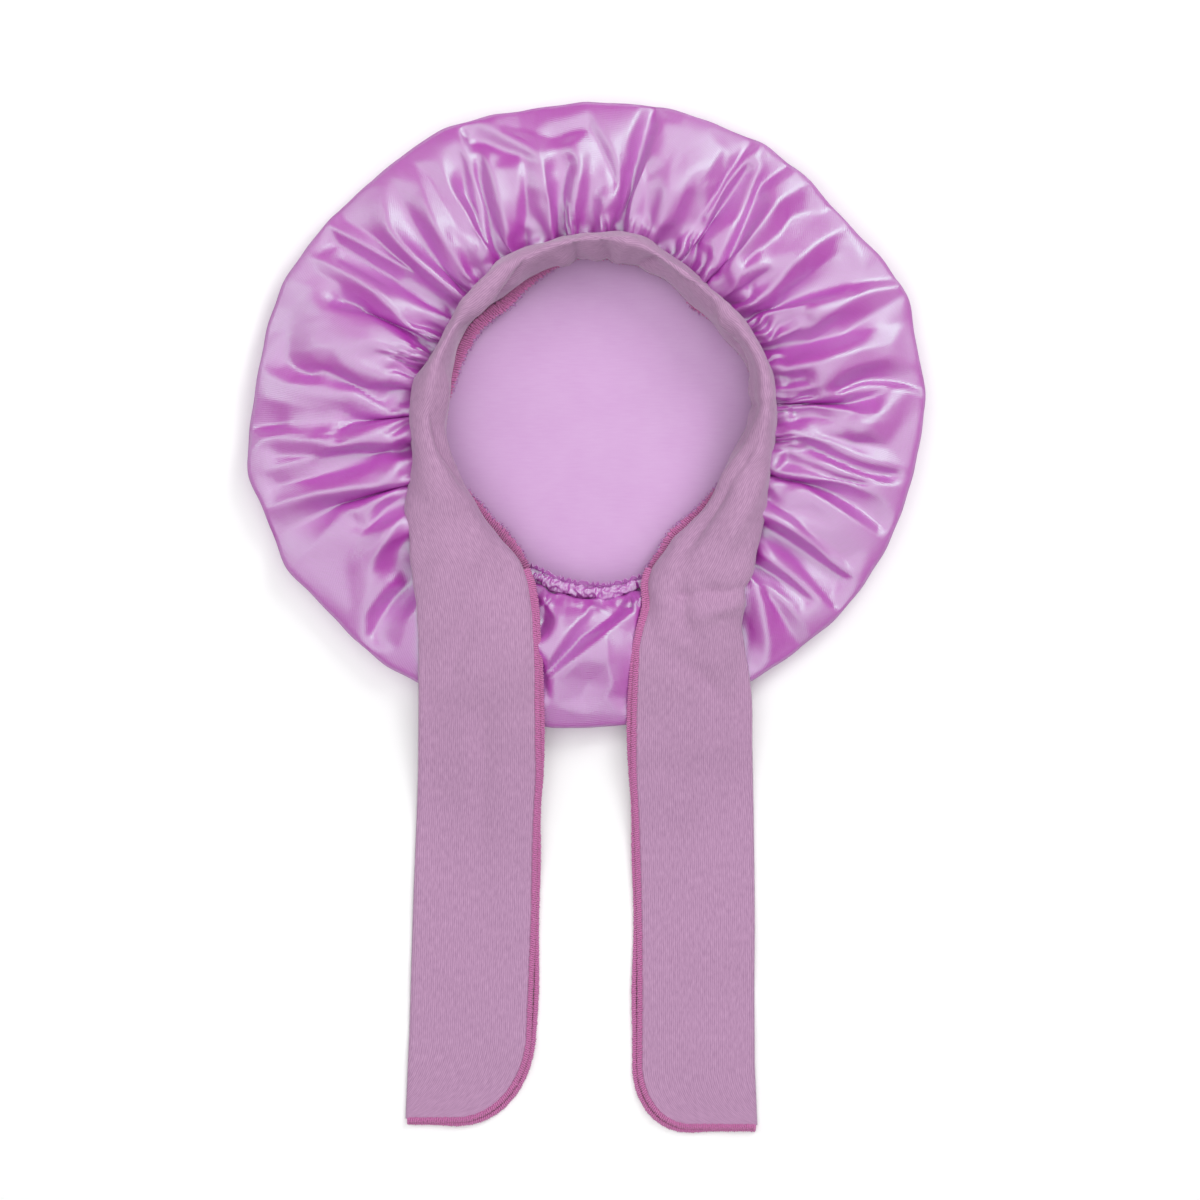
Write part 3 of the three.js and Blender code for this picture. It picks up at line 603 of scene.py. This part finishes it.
def jersey():
    """Brushed stretch jersey: fine ribs along its length, matt, with a soft bloom at its edges."""
    material, tree, shader = new_material(
        "stretch_jersey", {"Roughness": 0.85, "Sheen Weight": 0.35, "Sheen Roughness": 0.5}
    )
    cut = add_node(tree, "UVMap", {"uv_map": "cut"})
    # Ribs 1.1 mm apart, about twice the real spacing, which is too fine to show.
    ribs = add_node(
        tree,
        "TexWave",
        {"bands_direction": "X"},
        {"Vector": cut, "Scale": 290, "Distortion": 1.2, "Detail": 2, "Detail Scale": 2},
        output="Fac",
    )
    along = add_node(tree, "Mapping", inputs={"Vector": cut, "Scale": (1100, 240, 1)})
    streak = add_node(tree, "TexNoise", inputs={"Vector": along, "Scale": 1, "Detail": 4})
    speck = add_node(tree, "Math", {"operation": "MULTIPLY"}, {0: streak, 1: 2.6})
    both = add_node(tree, "Math", {"operation": "ADD"}, {0: ribs, 1: speck})
    part = add_node(tree, "Math", {"operation": "MULTIPLY"}, {0: both, 1: 0.27})
    dress(tree, shader, part, ("#8C6288", "#D2A6CA"), part, 0.35, 0.3 * MM)
    return material


def overlock_thread():
    """Textured polyester overlock thread: fluffy and matt, a redder pink than the cloth."""
    material, tree, shader = new_material(
        "overlock_thread", {"Roughness": 0.8, "Sheen Weight": 0.3, "Sheen Roughness": 0.5}
    )
    place = add_node(tree, "TexCoord", output="Object")
    fluff = add_node(tree, "TexNoise", inputs={"Vector": place, "Scale": 1800, "Detail": 2})
    dress(tree, shader, fluff, ("#B45498", "#DA84BA"))
    return material


def paper_backdrop():
    """Plain white paper, matt."""
    return new_material("paper_backdrop", {"Base Color": srgb("#FCFCFC"), "Roughness": 0.9})[0]


# Satin crown


def crown_edges(tree):
    """The bearing of each column, and the opening's and the rim's radius there on the frame's crown."""
    bearings = np.linspace(0, 2 * math.pi, CROWN_COLUMNS + 1)
    opening, rim = [], []
    for turn in bearings:
        out = Vector((math.cos(turn), math.sin(turn), 0))
        inside = Vector((0, 0, OPENING_HEIGHT - SATIN_WALL))
        outside = out * CLEAR_OF_CROWN + Vector((0, 0, RIM_AT))
        opening.append(tree.ray_cast(inside, out)[0].xy.length)
        rim.append(tree.ray_cast(outside, -out)[0].xy.length)
    opening = np.array(opening) - NAPE_IN * near_nape(bearings, 22, 8)
    return bearings, opening, smooth_round(np.array(rim), RIM_ROUNDING)


def crown_profile(width):
    """Rows evenly spaced along the crown's section: share of the way out, height, and the rim's row."""
    share = np.sin(np.linspace(0, math.pi / 2, PROFILE_STEPS))
    past = np.clip((share - CREST_SHARE) / (1 - CREST_SHARE), 0, 1)
    rise = OPENING_HEIGHT + (CREST_HEIGHT - OPENING_HEIGHT) * np.sin(np.pi / 2 * share / CREST_SHARE)
    fall = RIM_HEIGHT + (CREST_HEIGHT - RIM_HEIGHT) * (1 - past**1.2)
    height = np.where(share < CREST_SHARE, rise, fall)
    turn = np.linspace(0, math.pi / 2, 60)[1:]
    under = 1 - RIM_TURN * (1 - np.cos(turn)) / width
    last = 1 - (RIM_TURN + HEM_FLAT) / width
    share = np.concatenate([share, under, [last]])
    height = np.concatenate([height, RIM_HEIGHT * (1 - np.sin(turn)) + SATIN_WALL, [SATIN_WALL]])
    run = run_along(np.stack([share * width, height], axis=1))
    even = run[-1] * np.interp(np.linspace(0, 1, CROWN_ROWS), *ROW_SPREAD)
    rim_row = int((even <= run[PROFILE_STEPS - 1]).sum()) - 1
    return np.interp(even, run, share), np.interp(even, run, height), rim_row


def crown_as_it_lies(tree):
    """The crown's ring before the simulation: rows from opening to hem, and the rim's row."""
    bearings, opening, rim = crown_edges(tree)
    width = (rim - opening).mean()
    share, height, rim_row = crown_profile(width)
    top = opening + (rim - opening) * share[:, None]
    under = rim - (1 - share[:, None]) * width
    radius = np.where(np.arange(CROWN_ROWS)[:, None] > rim_row, under, top)
    height = np.broadcast_to(height[:, None], radius.shape)
    points = np.stack([radius * np.cos(bearings), radius * np.sin(bearings), height], axis=2)
    return bearings, points, rim_row


def fold_heights(points):
    """The height of the table's folds at each point of a grid, spanned by flat planes."""
    knots = [(bearing, radius, 0) for bearing in range(-90, 325, 6) for radius in FLAT_RINGS]
    for fold in FOLDS:
        line = np.array(fold, float).reshape(-1, 3)
        run = run_along(line[:, :2] * (FOLD_MM, 1))
        even = np.linspace(0, run[-1], 2 + int(run[-1] / FOLD_STEP))
        knots.extend(np.column_stack([np.interp(even, run, line[:, k]) for k in range(3)]))
    knots = np.array(knots, float)
    flat = [Vector((b * FOLD_MM, r)) for b, r in knots[:, :2]]
    verts, _, faces, sources, _, _ = delaunay_2d_cdt(flat, [], [], 0, 1e-4)
    net = [(*place, knots[own[0], 2]) for place, own in zip(verts, sources)]
    tree = BVHTree.FromPolygons(net, faces)
    bearing = np.degrees(np.arctan2(points[..., 1], points[..., 0]))
    bearing = np.where(bearing < SIDE_BEARING, bearing + 360, bearing) * FOLD_MM
    radius = np.linalg.norm(points[..., :2], axis=2) / MM
    found = np.zeros(radius.shape)
    for place in np.ndindex(radius.shape):
        hit = tree.ray_cast(Vector((bearing[place], radius[place], 50)), Vector((0, 0, -1)))[0]
        found[place] = hit.z * MM if hit else 0
    rounded = soften(soften(found, FOLD_ROUNDING).T, FOLD_ROUNDING).T
    found = np.minimum(found, rounded + CRISP)
    full = ease((radius - VALLEYS_FULL_FROM[0]) / VALLEYS_FULL_FROM[1])
    depth = VALLEY_SHARE * (VALLEY_SHARE_AT_BAND + (1 - VALLEY_SHARE_AT_BAND) * full)
    return np.where(found < 0, depth * found, found)


def smooth_round(line, reach):
    """A closed line of values, each the mean of those within reach."""
    once = line[:-1]
    wide = np.concatenate([once[-reach:], once, once[: reach + 1]])
    return np.convolve(wide, np.ones(2 * reach + 1) / (2 * reach + 1), "valid")[: len(line)]


def crown_cut(bearings, points, rim_row):
    """The same points on the flat cut, a circle whose edge is the gathered edge."""
    reach = CROWN_COLUMNS // 36
    steps = np.linalg.norm(np.diff(points, axis=0), axis=2)
    steps = np.array([smooth_round(line, reach) for line in steps]) * REACH_EASE
    run = np.vstack([np.zeros(points.shape[1]), np.cumsum(steps, axis=0)])
    rim = smooth_round(np.linalg.norm(points[rim_row, :, :2], axis=1), reach)
    radius = RIM_EASE * rim + run[rim_row] - run
    return np.stack([radius * np.cos(bearings), radius * np.sin(bearings)], axis=2)


def mean_run(points):
    """The distance of each row from the opening's edge, along the crown's mean section."""
    radius = np.linalg.norm(points[..., :2], axis=2).mean(axis=1)
    return run_along(np.stack([radius, points[..., 2].mean(axis=1)], axis=1))


def near_nape(bearings, reach, fade):
    """1 at the nape, falling to 0 over the last of so many degrees to each side of it."""
    return ease((reach - np.abs(np.degrees(bearings) - NAPE_BEARING)) / fade)


def at_nape(bearings):
    """1 where the crown is sewn to the casing, 0 away from it."""
    return near_nape(bearings, 26, 10)


def gather_phase(bearings, number):
    """How many gathers there are up to each column, as an angle: they are unevenly spaced."""
    wide = 0.5 * np.sin(5 * bearings + 1) + 0.45 * np.sin(11 * bearings + 2)
    wide = wide + 0.4 * np.sin(17 * bearings + number)
    phase = np.concatenate([[0], np.cumsum(np.exp(wide)[1:])])
    return phase * 2 * math.pi * number / phase[-1]


def add_gathers(bearings, points):
    """Fine gathers along the opening, which the simulation takes over."""
    phase = gather_phase(bearings, GATHERS)
    run = mean_run(points)
    nape = 1 - 0.6 * at_nape(bearings)
    lift = GATHER_LIFT * (1 - ease((run[:, None] / nape - GATHER_REACH[0]) / GATHER_REACH[1]))
    out = points[..., :2] / np.linalg.norm(points[..., :2], axis=2)[..., None]
    points[..., 2] += lift * np.cos(phase)
    points[..., :2] += out * (0.5 * lift * np.sin(phase + 1))[..., None]


def add_curls(co, phase, bearing, run):
    """Small curls that stand up in the gathers where they come out from under the band."""
    ends = CURL_ENDS[0] + CURL_ENDS[1] * np.sin(13 * bearing + 2 * np.sin(7 * bearing))
    ends = ends - CURL_ENDS_AT_NAPE * at_nape(bearing)
    strength = ease((run - 2 * MM) / (6 * MM)) * ease((ends - run) / (13 * MM))
    degrees = (np.degrees(bearing) - SIDE_BEARING) % 360 + SIDE_BEARING
    uneven = 0.65 + 0.5 * np.sin(9 * bearing + 1) * np.sin(23 * bearing) + 0.3 * np.sin(31 * bearing)
    uneven = np.interp(degrees, *np.array(CURLED).T) * np.clip(uneven, 0.1, 1.2)
    sway = 1.5 * np.sin(run / (3.6 * MM) + 3 * np.sin(11 * bearing))
    ridge = 2 * np.abs(np.sin((phase + sway) / 2)) ** 0.8 - 1
    co[:, 2] += CURL_LIFT * strength * uneven * ridge


def settle(obj, cut_places):
    """The cloth solver finds the folds of the gathered crown, and its result is applied."""
    obj.shape_key_add(name="as_it_lies")
    key = obj.shape_key_add(name="flat_cut")
    key.data.foreach_set("co", cut_places.reshape(-1).astype(np.float32))
    # The flat cut only reaches the cloth through a modifier that builds the mesh.
    obj.modifiers.new("weld", "WELD").merge_threshold = 0
    cloth = obj.modifiers.new("cloth", "CLOTH")
    settings = cloth.settings
    settings.vertex_group_mass = "held"
    settings.rest_shape_key = key
    settings.quality = 8
    settings.mass = 0.05
    settings.air_damping = 5
    settings.tension_stiffness = 15
    settings.compression_stiffness = 5
    settings.shear_stiffness = 5
    settings.bending_stiffness = 40
    settings.effector_weights.gravity = 0.1
    cloth.collision_settings.use_collision = False
    cloth.point_cache.frame_start = 1
    cloth.point_cache.frame_end = SIM_FRAMES
    for number in range(1, SIM_FRAMES + 1):
        bpy.context.scene.frame_set(number)
    finish_mesh(obj)
    bpy.context.scene.frame_set(1)


def satin_crown(face, reverse):
    tree = search_tree(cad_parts["satin_crown"].data)
    bearings, points, rim_row = crown_as_it_lies(tree)
    cut = crown_cut(bearings, points, rim_row)
    folds = fold_heights(points) * ease((rim_row + 6 - np.arange(CROWN_ROWS)) / 6)[:, None]
    points[..., 2] += FOLDS_BEFORE * folds
    add_gathers(bearings, points)
    points[:, -1] = points[:, 0]
    cut[:, -1] = cut[:, 0]
    bm = cloth_grid(points * SIM_SCALE, cut)
    place_layer = bm.verts.layers.float_vector.new("cut_place")
    row_layer = bm.verts.layers.int.new("row")
    column_layer = bm.verts.layers.int.new("column")
    for vert, place in zip(bm.verts, cut.reshape(-1, 2)):
        vert[place_layer] = (*place, 0)
        vert[row_layer], vert[column_layer] = divmod(vert.index, CROWN_COLUMNS + 1)
    weld(bm)
    cut_places = np.array([vert[place_layer] for vert in bm.verts]) * SIM_SCALE
    rows = np.array([vert[row_layer] for vert in bm.verts])
    columns = np.array([vert[column_layer] for vert in bm.verts])
    obj = object_from("satin_crown_cloth", bm, [face, reverse])
    held = obj.vertex_groups.new(name="held")
    held.add([int(i) for i in np.flatnonzero((rows == 0) | (rows >= CROWN_ROWS - 2))], 1.0, "REPLACE")
    start = coordinates(obj.data)
    settle(obj, cut_places)
    # The rim and the edge at the nape keep close to where they lie in the photo.
    move = coordinates(obj.data) - start
    far = np.maximum(np.linalg.norm(move, axis=1, keepdims=True), 1e-9)
    most = (SIM_REACH - RIM_HOLD * ease((rows - rim_row + 10) / 9))[:, None] * SIM_SCALE
    share = SIM_SHARE * (1 - 0.8 * ease((rows - rim_row + 14) / 12))
    share = share * (1 - 0.8 * at_nape(bearings[columns]))
    co = (start + move * np.minimum(share[:, None], most / far)) / SIM_SCALE
    co[:, 2] += FOLDS_AFTER * folds[rows, columns]
    phase = gather_phase(bearings, CURLS)
    add_curls(co, phase[columns], bearings[columns], mean_run(points)[rows])
    clear = 2 * SATIN_WALL + 1.5 * MM * ease((rim_row - rows) / 3)
    co[:, 2] = np.maximum(co[:, 2], np.where(rows > rim_row + 2, SATIN_WALL, clear))
    set_coordinates(obj.data, co)
    obj.vertex_groups.clear()
    close_underside(obj)
    return thicken(obj, SATIN_WALL, offset=-1, inner_material=1)


def close_underside(obj):
    """Goes on from the held hem to the crown's centre, flat on the floor."""
    bm = bmesh.new()
    bm.from_mesh(obj.data)
    uv = bm.loops.layers.uv["cut"]
    old = set(bm.faces)
    edges = [e for e in bm.edges if e.is_boundary and e.verts[0].co.xy.length > WITHIN_HEM]
    scale = 1.0
    for share in UNDERSIDE_RINGS:
        made = bmesh.ops.extrude_edge_only(bm, edges=edges)["geom"]
        verts = [g for g in made if isinstance(g, bmesh.types.BMVert)]
        edges = [g for g in made if isinstance(g, bmesh.types.BMEdge) and g.is_boundary]
        bmesh.ops.scale(bm, vec=(share / scale, share / scale, 1), verts=verts)
        scale = share
    bmesh.ops.holes_fill(bm, edges=edges, sides=0)
    face_outward(bm)
    for face in bm.faces:
        face.smooth = True
        if face not in old:
            for loop in face.loops:
                loop[uv].uv = loop.vert.co.xy
    bm.to_mesh(obj.data)
    bm.free()


# Tie band


def tie_end(tie, full):
    """One tie's rounded end, from its hem to its last full-width section."""
    outward = math.copysign(1, full[2] - full[0])
    rows = []
    for turn in np.linspace(0, math.pi / 2, CORNER_STEPS, endpoint=False):
        share = 1 - math.cos(turn)
        y = tie["hem"] + (full[1] - tie["hem"]) * share
        inset = tie["corner_radius"] * (1 - math.sin(turn))
        outer = tie["outer_corner"] + (full[2] - tie["outer_corner"]) * share
        rows.append(section((full[0] + outward * inset, y), (outer, y)))
    return np.array(rows)


def band_sections():
    """The band's sections from hem to hem."""
    body = catmull_rom(np.array(BAND), BAND_STEPS)
    return np.vstack([tie_end(LEFT_TIE, body[0]), body, tie_end(RIGHT_TIE, body[-1])[::-1]])


def section_at(row):
    """The number of the section at a row of the band's table."""
    return CORNER_STEPS + row * BAND_STEPS


def soften(grid, reach):
    """A grid, each row of it the weighted mean of the rows within reach."""
    padded = np.pad(grid, ((reach, reach), (0, 0)), mode="edge")
    weights = np.hanning(2 * reach + 3)[1:-1]
    return sum(w * padded[k : k + len(grid)] for k, w in enumerate(weights)) / weights.sum()


def band_middle(crown):
    """The surface midway between the band's two layers, laid over the crown and the floor."""
    rows = band_sections()
    seam, fold = rows[:, 0:2] * MM, rows[:, 2:4] * MM
    arch, crest = rows[:, 4:5] * MM, rows[:, 5:6]
    turn = np.linspace(0, math.pi, BAND_ACROSS)
    bent = ((1 - np.cos(turn)) / 2) ** (np.log(crest) / math.log(0.5))
    bent = bent + (np.linspace(0, 1, BAND_ACROSS) - bent) * (1 - ease(arch / (4 * MM)))
    places = seam[:, None] + (fold - seam)[:, None] * bent[..., None]
    tree = search_tree(crown.data)
    carried = np.array([[height_under(tree, place) for place in row] for row in places])
    run = run_along(places.mean(axis=1))
    carried = np.max(carried[None] - TIE_SLOPE * np.abs(run[:, None] - run)[..., None], axis=1)
    carried = soften(carried, 9) + 1.5 * JERSEY_WALL + LAYER_GAP + BAND_CLEAR
    round_opening = OPENING_HEIGHT + COLLAR_BASE[0] + COLLAR_BASE[1] * bent
    base = carried + (round_opening - carried) * ease((arch - STANDS_FROM) / STANDS_FROM)
    pointed = 1 - np.abs(turn / math.pi * 2 - 1)
    middle = np.dstack([places, base + arch * (0.55 * np.sin(turn) + 0.45 * ease(pointed * 0.9 + 0.1))])
    normal = grid_normals(middle)
    small = np.array([[crinkle_at(Vector(point)) for point in row] for row in middle])
    lift = band_crease_lifts(middle) + CRINKLE * small * (0.25 + 0.75 * ease(arch / STANDS_FROM))
    return middle + normal * lift[..., None]


def crinkle_at(place):
    """Uneven folds of two sizes."""
    return noise.noise(place * 34) + 0.35 * noise.noise(place * 80)


def band_point(middle, row, share):
    """The point at a row of the band's table, a share of the way from seam to fold."""
    return middle[round(section_at(row)), round(share * (BAND_ACROSS - 1))]


def band_crease_lifts(middle):
    """How far the creases of the table lift each point off the band's middle surface."""
    total = np.zeros(middle.shape[:2])
    for start, end, lift, half in BAND_CREASES:
        begin, stop = band_point(middle, *start), band_point(middle, *end)
        length = np.linalg.norm(stop - begin)
        share = np.clip((middle - begin) @ (stop - begin) / length**2, 0, 1)
        off = np.linalg.norm(middle - begin - share[..., None] * (stop - begin), axis=2)
        total += lift * MM * np.sin(np.pi * (0.08 + 0.84 * share)) * np.exp(-((off / (half * MM)) ** 2))
    return total


def height_under(tree, place):
    """The height of what lies at a place, or of the floor."""
    hit = tree.ray_cast(Vector((place[0], place[1], 0.1)), Vector((0, 0, -1)))[0]
    return 0.0 if hit is None else hit.z


def grid_normals(points):
    return -unit(np.cross(np.gradient(points, axis=1), np.gradient(points, axis=0)))


def tie_band(crown, material):
    """The folded strip, and its two layers' middle surfaces."""
    middle = band_middle(crown)
    up = grid_normals(middle) * (JERSEY_WALL + LAYER_GAP) / 2
    upper, lower = middle + up, middle - up
    out = middle[:, -1] - middle[:, -2]
    bend = middle[:, -1] + unit(out) * (JERSEY_WALL + LAYER_GAP) / 2
    points = np.concatenate([upper, bend[:, None], lower[:, ::-1]], axis=1)
    across = np.array([run_along(row) for row in points])
    along = np.broadcast_to(run_along(middle.mean(axis=1))[:, None], across.shape)
    bm = cloth_grid(points, np.dstack([across, along]))
    face_outward(bm)
    obj = object_from("tie_band_jersey", bm, [material])
    return thicken(obj, JERSEY_WALL, 0), upper, lower


# Overlocked edges


def thread_loop():
    """One loop of thread, a unit ellipse across X and Z, of a real thread's thickness."""
    bm = bmesh.new()
    start = Matrix.Translation((1, 0, 0)) @ Matrix.Rotation(math.pi / 2, 4, "X")
    bmesh.ops.create_circle(bm, segments=4, radius=0.24, matrix=start)
    ring = bm.verts[:] + bm.edges[:]
    way = {"cent": (0, 0, 0), "axis": (0, 0, 1), "angle": 2 * math.pi, "steps": 9}
    bmesh.ops.spin(bm, geom=ring, use_merge=True, **way)
    face_outward(bm)
    bmesh.ops.rotate(bm, cent=(0, 0, 0), matrix=Matrix.Rotation(math.pi / 2, 3, "X"), verts=bm.verts)
    return mesh_from("thread_loop", bm)


def point_along(path, run, distance):
    """The point of a line at a distance from its start."""
    return Vector([np.interp(distance, run, path[:, axis]) for axis in range(3)])


def wrap_edge(bm, loop, path, side, width, height, lean, seed):
    """Wraps loops of thread round a cloth edge: path is the edge, side its outward sign."""
    chance = random.Random(seed)
    run = run_along(path)
    for number in range(int(run[-1] / STITCH_PITCH)):
        at = (number + 0.5) * STITCH_PITCH
        here, ahead = point_along(path, run, at), point_along(path, run, at + STITCH_PITCH)
        along = (ahead - here).normalized() if (ahead - here).length else Vector((0, 1, 0))
        out = Vector((-along.y, along.x, 0)).normalized() * side
        up = along.cross(out) * (1 if along.cross(out).z > 0 else -1)
        turn = lean + chance.uniform(-0.15, 0.15)
        across = out * math.cos(turn) + along * math.sin(turn)
        ahead = along * math.cos(turn) - out * math.sin(turn)
        size = chance.uniform(0.9, 1.12)
        columns = (across * width / 2 * size, ahead * STITCH_PITCH * 1.9, up * height / 2 * size)
        place = Matrix([[*[c[k] for c in columns], here[k]] for k in range(3)] + [[0, 0, 0, 1]])
        loop.transform(place)
        bm.from_mesh(loop)
        loop.transform(place.inverted())


def edge_core(bm, path, width, height):
    """The wrapped cloth edge itself, a flat rounded bar that closes the gaps between the loops."""
    turn = np.linspace(0, 2 * math.pi, 9)[None, :, None]
    across = sideways(path)[:, None] * np.cos(turn) * width / 2
    points = path[:, None] + across + UP * np.sin(turn) * height / 2
    points[:, -1] = points[:, 0]
    core = cloth_grid(points, np.zeros((*points.shape[:2], 2)))
    weld(core)
    bmesh.ops.holes_fill(core, edges=[e for e in core.edges if e.is_boundary], sides=0)
    face_outward(core)
    mesh = mesh_from("edge_core", core)
    bm.from_mesh(mesh)
    bpy.data.meshes.remove(mesh)


def tie_edge(layer, tie, left):
    """The raw edge of one layer of a tie, from the nape down and round to the far end of the hem."""
    if left:
        down = layer[section_at(tie["nape_row"]) : 0 : -1, 0]
        return np.vstack([down, layer[0]])
    down = layer[section_at(tie["nape_row"]) : -1, 0]
    return np.vstack([down, layer[-1]])


def shifted(path, side, out, rise):
    """A line moved to its side and up."""
    return path + sideways(path) * side * np.reshape(out, (-1, 1)) + UP * rise


def tie_overlock(name, upper, lower, tie, left, thread):
    """The wrapped raw edges of a tie's two layers, the lower one showing beside the upper one."""
    side = 1 if left else -1
    bm = bmesh.new()
    loop = thread_loop()
    top = shifted(tie_edge(upper, tie, left), side, 0.6 * MM, 0.15 * MM)
    under = tie_edge(lower, tie, left)
    run = run_along(under)
    shows = UNDER_SHOWS + 0.7 * MM * np.sin(run / (37 * MM) + 1) + 0.4 * MM * np.sin(run / (11 * MM))
    under = shifted(under, side, shows, -0.1 * MM)
    for path, seed in ((top, 11), (under, 12)):
        edge_core(bm, path, STITCH_WIDTH * 0.92, STITCH_HEIGHT * 0.72)
        wrap_edge(bm, loop, path, side, STITCH_WIDTH, STITCH_HEIGHT, 0.3, seed)
    bpy.data.meshes.remove(loop)
    return object_from(name, bm, [thread])


def seam_edge(upper, lower):
    """The line where the band is sewn to the crown, and how far the seam shows there."""
    first, last = section_at(LEFT_TIE["nape_row"]) - 5, section_at(RIGHT_TIE["nape_row"]) + 5
    line = ((upper + lower) / 2)[first:last, 0]
    bearing = np.degrees(np.arctan2(line[:, 1], line[:, 0]))
    bearing = np.where(bearing < -90, bearing + 360, bearing)
    table = np.array(SEAM_SHOWS)
    return line, np.interp(bearing, table[:, 0], table[:, 1]) * MM


def band_seam(upper, lower, thread, satin):
    """The overlocked allowance inside the band, with threads of frayed satin on its edge."""
    line, shows = seam_edge(upper, lower)
    centre = shifted(line, -1, shows - SEAM_WIDTH / 2, 0)
    centre[:, 2] = OPENING_HEIGHT - SEAM_BELOW - shows * 0.3
    bm = bmesh.new()
    loop = thread_loop()
    edge_core(bm, centre, SEAM_WIDTH * 0.95, SEAM_CORE_HEIGHT)
    wrap_edge(bm, loop, centre, -1, SEAM_WIDTH, SEAM_HEIGHT, 0.2, 21)
    bpy.data.meshes.remove(loop)
    chance = random.Random(23)
    edge = shifted(line, -1, shows, 0)
    bare = len(bm.faces)
    for _ in range(FRAYS):
        at = chance.randrange(1, len(edge) - 1)
        length = chance.uniform(*FRAY_LENGTHS) * MM
        turn = chance.uniform(0, 2 * math.pi)
        if shows[at] < 1 * MM:
            continue
        lean = Vector((math.cos(turn), math.sin(turn), chance.uniform(-0.6, 0.5))).normalized()
        turned = lean.to_track_quat("Z", "Y").to_matrix().to_4x4()
        place = Matrix.Translation((edge[at][0], edge[at][1], centre[at][2])) @ turned
        size = {"radius1": FRAY_RADII[0], "radius2": FRAY_RADII[1], "depth": length}
        bmesh.ops.create_cone(bm, cap_ends=True, segments=3, matrix=place, **size)
    bm.faces.ensure_lookup_table()
    for face in bm.faces[bare:]:
        face.material_index = 1
    return object_from("band_seam_thread", bm, [thread, satin])


# Nape casing


def pucker(along, angle, often):
    """Sharp ridges between soft hollows, round a tube and along it: 1 on a ridge, less elsewhere."""
    return 1 - 2 * abs(noise.noise((often * along, math.cos(angle), math.sin(angle))))


def nape_casing(satin, reverse):
    """The gathered tunnel over its elastic, and the frill that stands along its inner edge."""
    points = np.array([(x * MM, y * MM, OPENING_HEIGHT - CASING_BELOW) for x, y in CASING_PATH])
    path = catmull_rom(points, CASING_STEPS)
    run = run_along(path) / run_along(path)[-1]
    side = sideways(path)
    uneven = run + 0.022 * np.sin(19 * run) + 0.012 * np.sin(43 * run + 1)
    phase = 2 * math.pi * CASING_GATHERS * uneven
    turn = np.linspace(0, 2 * math.pi, CASING_ROUND)
    size = [[0.5 + 0.4 * pucker(r, a, 14) + 0.18 * pucker(r + 3, a, 31) for a in turn] for r in run]
    size = np.array(size)
    across = np.cos(turn) * size * CASING_WIDTH / 2
    height = np.sin(turn) * size * CASING_HEIGHT / 2
    tube = path[:, None] + side[:, None] * across[..., None] + UP * height[..., None]
    tube[:, -1] = tube[:, 0]
    bm = cloth_grid(tube, np.dstack(np.meshgrid(turn * CASING_CUT[0], run * CASING_CUT[1])))
    weld(bm)
    face_outward(bm)
    casing = thicken(object_from("nape_casing_satin", bm, [satin, reverse]), CASING_WALL, -1, 1)
    share = np.linspace(0, 1, 8)
    wave = np.sin(1.6 * phase[:, None] + 2 * np.sin(9 * run)[:, None]) * share * 0.9 * MM
    lean = CASING_WIDTH * 0.34 + share * 1.6 * MM + wave
    rise = CASING_HEIGHT * 0.3 + share * FRILL * (0.8 + 0.2 * np.sin(phase[:, None] * 0.37))
    frill = path[:, None] + side[:, None] * lean[..., None] + UP * rise[..., None]
    bm = cloth_grid(frill, np.dstack(np.meshgrid(share * FRILL, run * CASING_CUT[1])))
    heading = thicken(object_from("frill", bm, [satin, reverse]), CASING_WALL, 0)
    bm = bmesh.new()
    bm.from_mesh(casing.data)
    bm.from_mesh(heading.data)
    bm.to_mesh(casing.data)
    bm.free()
    bpy.data.objects.remove(heading)
    return casing


# Scene


def studio():
    """The camera straight above, four soft lamps, and the paper that the bonnet lies on."""
    lens = bpy.data.cameras.new("camera")
    lens.lens = CAMERA_LENS
    lens.sensor_width = CAMERA_SENSOR
    lens.clip_end = 20
    camera = link(bpy.data.objects.new("camera", lens))
    camera.location = (*VIEW_CENTRE, VIEW_WIDTH * CAMERA_LENS / CAMERA_SENSOR)
    bpy.context.scene.camera = camera
    for name, place, size, power in LAMPS:
        lamp = bpy.data.lights.new(name, "AREA")
        lamp.size = size
        lamp.energy = power
        obj = link(bpy.data.objects.new(name, lamp))
        obj.location = place
        obj.rotation_euler = Vector(place).to_track_quat("Z", "Y").to_euler()
    world = bpy.data.worlds.new("studio")
    bpy.context.scene.world = world
    world.use_nodes = True
    light = world.node_tree.nodes["Background"].inputs
    light["Color"].default_value = (1, 1, 1, 1)
    light["Strength"].default_value = ROOM_LIGHT
    bpy.context.scene.view_settings.view_transform = "Standard"
    bm = bmesh.new()
    bmesh.ops.create_grid(bm, x_segments=1, y_segments=1, size=FLOOR_REACH)
    floor = object_from("floor", bm, [paper_backdrop()])


def place_piece(piece, slot, *nodes):
    """Attaches a piece to the root body, and hides the frame's nodes that it shows more finely."""
    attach(piece, "root")
    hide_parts(*nodes)


studio()
FACE, REVERSE, JERSEY, THREAD = satin_face(), satin_reverse(), jersey(), overlock_thread()

crown = satin_crown(FACE, REVERSE)
place_piece(crown, "satin", "satin_crown")

band, upper, lower = tie_band(crown, JERSEY)
place_piece(band, "jersey", "tie_band")

left_edge = tie_overlock("left_tie_thread", upper, lower, LEFT_TIE, True, THREAD)
place_piece(left_edge, "overlock_thread", "left_tie_overlock")
right_edge = tie_overlock("right_tie_thread", upper, lower, RIGHT_TIE, False, THREAD)
place_piece(right_edge, "overlock_thread", "right_tie_overlock")

seam = band_seam(upper, lower, THREAD, FACE)
place_piece(seam, "overlock_thread", "band_seam")
casing = nape_casing(FACE, REVERSE)
place_piece(casing, "satin", "nape_casing")
